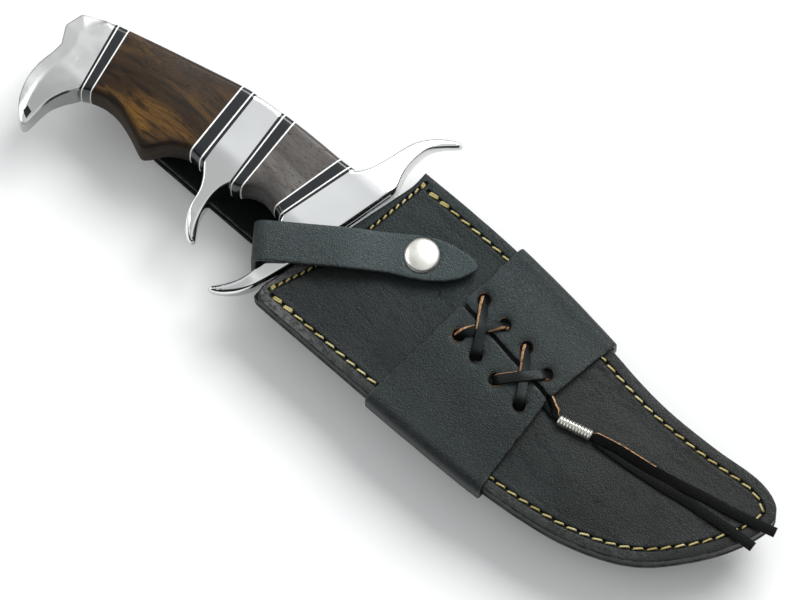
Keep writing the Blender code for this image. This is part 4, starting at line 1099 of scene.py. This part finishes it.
def strap():
    """The strap in two pieces that meet half way up its fold."""
    _, run = table_of(STRAP_PATH)
    at_fold = np.where(np.abs(STRAP_PATH[:, 0] - FOLD_S) < 0.2)[0]
    half_way = run[at_fold[len(at_fold) // 2]]
    half, end = STRAP_W / 2, STRAP_LONG
    tip = smooth([(-13.0, -half), (-9.0, -9.1), (-4.0, -9.9), (2.0, -10.4), (8.3, -10.1), (12.6, -9.4),
                  (16.4, -8.2), (20.4, -6.0), (22.7, -4.2), (23.5, -2.5), (22.7, -0.9), (20.4, 1.2), (17.0, 3.4),
                  (10.9, 6.2), (4.0, 8.0), (-4.0, half), (-13.0, half)], 4)
    upper = [(half_way, -half)] + [(TIP_RUN - p.x, p.y) for p in tip] + [(half_way, half)]
    lower = [(half_way, -half), (end - 4, -half), (end - 1.2, -half + 1.2), (end, -half + 4), (end, half - 4),
             (end - 1.2, half - 1.2), (end - 4, half), (half_way, half)]

    def seat(points, d):
        away = np.hypot(points[:, 0] - TIP_RUN, points[:, 1])
        return 0.08 * ripple(points[:, 0], points[:, 1], 5, 24) - 0.55 * (1 - ease(away, 5.0, 9.5))

    flap = plate("strap_upper", (), resample(upper[1:] + upper[:2], 1.2)[:-1],
                 leather_form(0.0, STRAP_T, STRAP_RADIUS, seat, 0.5), STRAP_LEATHER_PAINTED_SHEEN, None,
                 round_rings(STRAP_RADIUS), 1.2, [circle((TIP_RUN, 0.0), 1.9, 16)], None, strap_place, [upper])
    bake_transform(flap)
    stand_for(flap, "strap_flap")
    root = plate("strap_lower", (), resample(lower + lower[:1], 1.2)[:-1],
                 leather_form(0.0, STRAP_T, STRAP_RADIUS), STRAP_LEATHER_PAINTED_SHEEN, None, round_rings(STRAP_RADIUS), 1.4,
                 place=strap_place, rounding=[lower])
    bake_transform(root)
    stand_for(root, "strap_root", "strap_fold")
    rivet("root_rivet", "strap_root_rivet", strap_point(-45.0, 0), 8.9, 14.75, 3.8)


def snap():
    base = SNAP_MID_Z + STRAP_T / 2 - 0.15
    dome = [(7.1 * x, base + 0.78 + 1.75 * z) for x, z in arc(0, 0, 1, 0, 12)[1:-1]]
    cap = [(0, SNAP_MID_Z - 1.5), (1.8, SNAP_MID_Z - 1.5), (1.8, base), (6.9, base), (7.3, base + 0.12),
           (7.45, base + 0.42), (7.25, base + 0.72), *dome, (0, base + 2.53)]
    lathe("snap_cap_dome", ["snap_cap"], cap, SNAP, SNAP_STEEL, "strap_flap", 64, 50.0)
    low, high = FRONT_TOP + 1.0, SNAP_MID_Z - STRAP_T / 2 - 0.2
    socket = [(0, low + 1.7), (3.4, low + 1.7), (3.5, low + 0.1), (4.0, low), (5.6, low + 0.1), (6.1, low + 0.6),
              (6.2, high - 0.2), (5.9, high), (0, high)]
    lathe("snap_socket_ring", ["snap_socket"], socket, SNAP, DULL_STEEL, "strap_flap")
    foot, base = FRONT_Z + 0.3, FRONT_TOP + 0.15
    stud = [(0, foot), (4.4, foot), (4.5, foot + 0.4), (1.9, foot + 0.5), (1.9, base), (4.9, base),
            (4.9, base + 0.4), (3.2, base + 0.55), (2.7, base + 0.9), (2.65, base + 1.3), (3.0, base + 1.7),
            (2.9, base + 2.1), (2.2, base + 2.35), (0, base + 2.4)]
    lathe("snap_stud_button", ["snap_stud", "snap_post"], stud, SNAP, DULL_STEEL, "sheath")


# Lacing band

SPINE_TABLE = np.array(sorted(tuple(p) for p in smooth(SPINE_EDGE, 6)))
BELLY_TABLE = np.array(sorted(tuple(p) for p in smooth(BELLY_EDGE, 6) if p[1] < -20))
SLIT_GAP = 0.85


def slit_y(x):
    return 11.8 - 7.0 * (x - 56.5) / 54.2


def band_path(x):
    """The band's middle line in (y, z) at x, from the upper flap's slit edge round the back to the lower's."""
    half, r = BAND_T / 2, BAND_CORNER
    out = CLEARANCE + half
    front, back, raised = FRONT_TOP + out, BACK_Z - out, BAND_TOP - half
    top = float(height_on(SPINE_TABLE, x)) + out - r
    low = float(height_on(BELLY_TABLE, x)) - out + r
    a, b = slit_y(x) + SLIT_GAP, slit_y(x) - SLIT_GAP
    pts = [(y, front + (raised - front) * float(1 - ease(y, a + 11.5, top - 1.0)))
           for y in np.linspace(a, top, 26)]
    pts += arc(top, front - r, r, 90, 8, -90)[1:] + arc(top, back + r, r, 0, 8, -90)[1:]
    pts += [((top + low) / 2, back)] + arc(low, back + r, r, -90, 8, -90) + arc(low, front - r, r, 180, 8, -90)
    return pts + [(y, front + (raised - front) * float(ease(y, low + 1.0, b - 11.5)))
                  for y in np.linspace(low, b, 30)[1:]]


def band_left(y):
    return BAND_X[0] + 0.073 * y


def band_right(y):
    return BAND_X[1] + np.where(y > 4, 0.15 * (y - 4), 0.08 * (4 - y))


BAND_STATIONS = np.linspace(*BAND_X, 13)
BAND_SAMPLES = 420
BAND_TABLES = [table_of(band_path(x)) for x in BAND_STATIONS]
BAND_ROWS = np.array([sample(np.linspace(0, run[-1], BAND_SAMPLES), run, arr) for arr, run in BAND_TABLES])
BAND_LENGTHS = np.array([run[-1] for _, run in BAND_TABLES])
BAND_LONG = float(BAND_LENGTHS.mean())


def band_place(points, height):
    """Plate points are (place along X in the band's width, run from the upper slit edge), both in millimetres."""
    normals = -np.array([right_of(ahead) for ahead in np.gradient(BAND_ROWS, axis=1)])
    share = (points[:, 0] - BAND_X[0]) / (BAND_X[1] - BAND_X[0])
    u = np.clip(share, 0, 1) * (len(BAND_STATIONS) - 1)
    v = np.clip(points[:, 1] / BAND_LONG, 0, 1) * (BAND_SAMPLES - 1)
    i, k = np.minimum(u.astype(int), len(BAND_STATIONS) - 2), np.minimum(v.astype(int), BAND_SAMPLES - 2)
    fu, fv = (u - i)[:, None], (v - k)[:, None]

    def look_up(grid):
        return ((grid[i, k] * (1 - fv) + grid[i, k + 1] * fv) * (1 - fu)
                + (grid[i + 1, k] * (1 - fv) + grid[i + 1, k + 1] * fv) * fu)

    yz = look_up(BAND_ROWS) + look_up(normals) * height[:, None]
    left = band_left(yz[:, 0])
    return np.column_stack([left + share * (band_right(yz[:, 0]) - left), yz])


def band_spot(spot):
    """The plate point of a place on the band's front."""
    x, y = spot
    share = (x - band_left(y)) / (band_right(y) - band_left(y))
    u = BAND_X[0] + float(share) * (BAND_X[1] - BAND_X[0])
    stretch = BAND_LONG / float(np.interp(u, BAND_STATIONS, BAND_LENGTHS))
    if y > slit_y(u):
        return u, (y - slit_y(u) - SLIT_GAP) * stretch
    return u, BAND_LONG - (slit_y(u) - SLIT_GAP - y) * stretch


def lacing_band():
    spots = np.array([band_spot(h) for h in HOLES_A + HOLES_B])

    def relief(points, d):
        rim = -0.35 * (1 - ease(nearest(points, spots), HOLE_R, HOLE_R + 2.2))
        ends = np.minimum(points[:, 1], BAND_LONG - points[:, 1])
        pull = 0.28 * np.cos(points[:, 0] * math.tau / 13.4 + 0.6) * (1 - ease(ends, 0, 16))
        return rim + pull + 0.10 * ripple(points[:, 0], points[:, 1], 21, 22)

    plate("lacing_band_leather", ["lacing_band"], rounded_box((BAND_X[0], 0.0), (BAND_X[1], BAND_LONG), 1.5, 1.0),
          leather_form(0.0, BAND_T, 0.7, relief, 0.8), BAND_LEATHER, "sheath", round_rings(0.7), 1.2,
          [circle(s, HOLE_R, 22) for s in spots], place=band_place)


def hole_rims():
    """The raw leather inside each punched hole, as a thin sleeve just proud of its wall."""
    verts, faces = [], []
    sides = 22
    foot = BAND_TOP - BAND_T + 0.2
    rings = ((HOLE_R + 0.25, BAND_TOP - 0.42), (HOLE_R - 0.12, BAND_TOP - 0.55), (HOLE_R - 0.2, foot),
             (HOLE_R + 0.25, foot))
    for x, y in HOLES_A + HOLES_B:
        faces += ring_faces(len(rings), sides, len(verts), True)
        for radius, z in rings:
            for turn in (math.tau * k / sides for k in range(sides)):
                r = radius * (1 + 0.02 * math.sin(3 * turn + x))
                verts.append((x + r * math.cos(turn), y + r * math.sin(turn), z))
    make_mesh("punched_rims", (), verts, faces, RIM_RAW, "sheath", 40.0)


# Laces


def lace_section(width, thickness, crown=0.12):
    """A flat lace's section: nearly a box, crowned on top, with its raw sides sloping a little outwards."""
    w, t = width / 2, thickness / 2
    return [(-w + 0.12, t - 0.05), (-w * 0.5, t + crown * 0.8), (0, t + crown), (w * 0.5, t + crown * 0.8),
            (w - 0.12, t - 0.05), (w + 0.06, t - 0.35), (w + 0.12, -t + 0.2), (w - 0.1, -t), (0, -t - 0.05),
            (-w + 0.1, -t), (-w - 0.12, -t + 0.2), (-w - 0.06, t - 0.35)]


class Lacing:
    """A mesh in the making, to which laces are added one by one."""

    def __init__(self):
        self.verts, self.faces, self.slots = [], [], []

    def add(self, path, rolls=None, width=LACE_W, thickness=LACE_T, raw=((0, 0), (0, 0)), widths=None, ups=UP):
        """A lace along a path. raw gives the stretches of its right and left sides that are undyed, as shares of
        its stations, and widths scales its width at each station."""
        section = lace_section(width, thickness)
        count = len(section)

        def at(k):
            c, s = (math.cos(rolls[k]), math.sin(rolls[k])) if rolls else (1, 0)
            scale = widths[k] if widths else 1.0
            return [(a * scale * c - b * s, a * scale * s + b * c) for a, b in section]

        rings = sweep_rings(path, at, ups)
        self.faces += ring_faces(len(rings), count, len(self.verts)) + cap_faces(len(rings), count, len(self.verts))
        self.verts += [p for ring in rings for p in ring]
        for r in range(len(rings) - 1):
            share = r / (len(rings) - 1)
            for i in range(count):
                low, high = raw[0] if i in (4, 5, 6) else raw[1] if i in (9, 10, 11) else (0, 0)
                self.slots.append(int(low < share < high))
        self.slots += [1, 1]

    def make(self, name, node, leather_look):
        return make_mesh(name, [node], self.verts, self.faces, [leather_look, RAW], "sheath", 40.0, None,
                         self.slots)


def over_strip(one, other, lift, bow):
    """The path of a lace that comes up through one hole, crosses the slit and goes down the other."""
    a, b = Vector((*one, 0)), Vector((*other, 0))
    length = (b - a).length
    run = (b - a).normalized()
    side = Vector((-run.y, run.x, 0))
    top = BAND_TOP + LACE_T / 2 + 0.05
    rise = [(-0.6, 33.9), (0.2, 35.0), (1.0, 36.6), (2.1, top - 0.1), (3.4, top + 0.35),
            (length * 0.32, top + 0.3 + lift * 0.55)]
    pts = []
    for along, z in rise + [(length * 0.5, top + 0.25 + lift)] + [(length - s, z) for s, z in rise[::-1]]:
        p = a + run * along + side * bow * math.sin(math.pi * min(1, max(0, along / length)))
        pts.append((p.x, p.y, z))
    return smooth(pts, 3)


def laces():
    a1, a2, a3, a4 = HOLES_A
    b1, b2, b3, b4 = HOLES_B
    crossings = [(b1, a2, 0.0, 0.35, (-0.95, -0.1, 0.75), ((0.55, 0.95), (0.05, 0.42))),
                 (b2, a1, 1.7, -0.5, (0.1, -0.35, -1.0), ((0, 0), (0.46, 0.97))),
                 (a3, b4, 0.0, 0.5, (1.0, 0.25, -0.1), ((0.03, 0.47), (0, 0))),
                 (b3, a4, 1.7, -0.4, (-0.25, -0.15, 0.25), ((0.80, 0.97), (0.12, 0.45)))]
    lacing = Lacing()
    for one, other, lift, bow, roll, raw in crossings:
        path = over_strip(one, other, lift, bow)
        rolls = [float(np.interp(k / (len(path) - 1), (0.22, 0.5, 0.78), roll)) for k in range(len(path))]
        lacing.add(path, rolls, raw=raw, ups=(0.03, 0.02, 1))
    under = FRONT_TOP + 0.95
    for one, other in ((b2, b3), (a1, b1), (a2, a3)):
        a, b = Vector((*one, under)), Vector((*other, under))
        lacing.add([a.lerp(b, t / 8) for t in range(9)], None, LACE_W - 0.4, 1.1)
    for (x, y), exit_y in ((a4, 6.0), (b4, 2.4)):
        path = smooth([(x, y, under), (105.8, (y + exit_y) / 2, under), (109.6, exit_y, under)], 5)
        lacing.add(path, None, LACE_W - 0.8, 1.1)
    lacing.make("lacing_strips", "lacing", LACE_LEATHER)


TAIL_UPPER = [
    (109.2, 5.7, 34.2), (112.4, 4.3, 34.8), (116.2, 2.4, 35.5), (119.6, 0.95, 35.72), (126.8, 2.7, 35.72),
    (133.9, 4.5, 35.72), (139, 5.9, 35.65), (146, 7.6, 35.4), (154, 8.9, 35.2), (163, 10.3, 34.7),
    (173, 12.5, 33.95), (185.2, 15.7, 33.7), (200.5, 19.1, 33.7), (217.4, 23.7, 34.3)]
UPPER_ROLLS = [
    (0, -0.6), (0.06, -0.8), (0.085, -0.2), (0.1, 0), (0.22, 0), (0.25, -0.35), (0.32, -0.45), (0.5, -0.35),
    (0.66, -0.1), (1, 0)]
TAIL_LOWER = [
    (109.2, 2.7, 33.75), (112.6, 2.5, 33.85), (116.4, 1.7, 34.25), (119.6, 0.8, 34.48), (127, 2.6, 34.48),
    (134.1, 4.2, 34.45), (141, 4.7, 34.1), (151.5, 5.5, 33.8), (160, 6.5, 33.7), (169.5, 7.7, 33.7),
    (182, 9.8, 33.7), (190, 10.7, 33.7), (203.2, 12.2, 33.8), (214.4, 13.1, 34.2)]
LOWER_ROLLS = [(0, 0.1), (0.10, 0.0), (0.24, 0.0), (0.40, 0.12), (0.7, -0.05), (1, 0.05)]


def tail(name, node, points, raw, rolls, others):
    """A lace's free end, pinched inside the ferrule and lying flat beyond it."""
    path = smooth(points, 6)
    _, run = table_of(path)
    turns = [float(height_on(np.array(rolls), r / run[-1])) for r in run]
    pinch = [float(1 - 0.46 * ease(r, 7.5, 9.5) * (1 - ease(r, 26.5, 29.0))) for r in run]
    lacing = Lacing()
    lacing.add(path, turns, LACE_W, TAIL_T, raw, pinch)
    piece = lacing.make(name, node, TAIL_LEATHER)


def tails():
    """The two free ends, one over the other through the ferrule."""
    tail("lace_upper", "lace_tail_upper", TAIL_UPPER, ((0, 0), (0, 0.68)), UPPER_ROLLS, [ferrule()])
    tail("lace_lower", "lace_tail_lower", TAIL_LOWER, ((0, 0), (0, 0)), LOWER_ROLLS, [])


def ferrule():
    """A crimped oval sleeve with rolled ribs."""
    start, end = Vector((119.6, 0.85, 35.1)), Vector((134.1, 4.5, 35.1))
    per_rib, sides = 6, 28
    steps = 11 * per_rib

    def oval(width, height):
        turns = [math.tau * s / sides for s in range(sides)]
        return [(width * math.cos(t), height * math.sin(t)) for t in turns]

    def ribbed(k):
        rib = 0.30 * (0.5 - 0.5 * math.cos(math.tau * (k % per_rib) / per_rib))
        return oval(2.35 + rib, 1.8 + rib)

    rings = sweep_rings([start.lerp(end, k / steps) for k in range(steps + 1)], ribbed)
    rings += sweep_rings([end, start], lambda k: oval(2.05, 1.5))
    return make_mesh("ribbed_ferrule", ["lace_ferrule"], [p for ring in rings for p in ring],
                     ring_faces(len(rings), sides, 0, True), FERRULE_STEEL, "sheath", 60.0)


# Stage


def camera():
    """The photo's camera, far off behind a long lens; returns the directions to its right and toward it."""
    right = Vector((math.cos(HEADING), math.sin(HEADING), 0))
    down = Vector((math.sin(HEADING), -math.cos(HEADING), 0))
    back = (UP * math.cos(TILT) + down * math.sin(TILT)).normalized()
    data = bpy.data.cameras.new("camera")
    data.lens = LENS
    data.sensor_width = SENSOR
    data.clip_start, data.clip_end = CLIP
    cam = linked("camera", data)
    far = PHOTO_WIDTH * LENS / SENSOR
    turn = Matrix((right, back.cross(right), back)).transposed()
    cam.matrix_world = Matrix.Translation((LOOK_AT + back * far) * MM) @ turn.to_4x4()
    bpy.context.scene.camera = cam
    return right, down


def lamp(name, place, target, size, power):
    data = bpy.data.lights.new(name, "AREA")
    data.shape = "RECTANGLE"
    data.size, data.size_y = size
    data.energy = power
    obj = linked(name, data)
    obj.location = place
    obj.rotation_mode = "QUATERNION"
    obj.rotation_quaternion = (target - place).to_track_quat("-Z", "Y")


def studio():
    right, down = camera()
    mesh = bpy.data.meshes.new("floor")
    wide, low = 6, -0.0006
    mesh.from_pydata([(-wide, -wide, low), (wide, -wide, low), (wide, wide, low), (-wide, wide, low)], [],
                     [(0, 1, 2, 3)])
    mesh.materials.append(Look("floor", (0.86, 0.86, 0.86), 0.8).mat)
    linked("floor", mesh)
    bpy.context.scene.view_settings.view_transform = "Standard"
    sky(right, down)
    middle = LOOK_AT * MM
    lamp("key", middle - down * 0.95 + right * 0.75 + UP * 1.45, middle, (1.3, 1.0), KEY_POWER)
    lamp("fill", middle - right * 1.6 - down * 0.2 + UP * 1.0, middle, (1.4, 1.2), FILL_POWER)


def sky(right, down):
    """A studio's surroundings for the metal to mirror: bright overhead, greyer low down, and a dark strip low on
    the side that the picture's lower edges face."""
    world = bpy.data.worlds.new("studio")
    bpy.context.scene.world = world
    world.use_nodes = True
    nodes = Nodes(world.node_tree, "Generated")
    height = nodes.split["Z"]
    toward, across = (nodes.node("VectorMath", {"operation": "DOT_PRODUCT"},
                                 [nodes.place, axis]).outputs["Value"] for axis in (down, right))
    level = nodes.times(nodes.remap(height, 0.05, 0.46, 0.10, 0.92), nodes.remap(toward, -0.37, -0.08, 1.03, 0.76))
    level = nodes.times(level, nodes.remap(across, -0.22, 0.16, 0.74, 1.08))
    strip = nodes.times(nodes.remap(height, 0.45, 0.70, 1.0, 0.0), nodes.remap(toward, 0.15, 0.50, 0.0, 0.95))
    background = nodes.tree.nodes["Background"].inputs
    nodes.feed(background["Strength"], nodes.times(level, nodes.math("SUBTRACT", 1.0, strip)))
    nodes.feed(background["Color"], (0.97, 0.99, 1.0))


studio()
tails()
panels()
welt()
seams()
handle()
guard()
sub_guard()
pommel()
blade()
belt_loop()
strap()
snap()
lacing_band()
hole_rims()
laces()
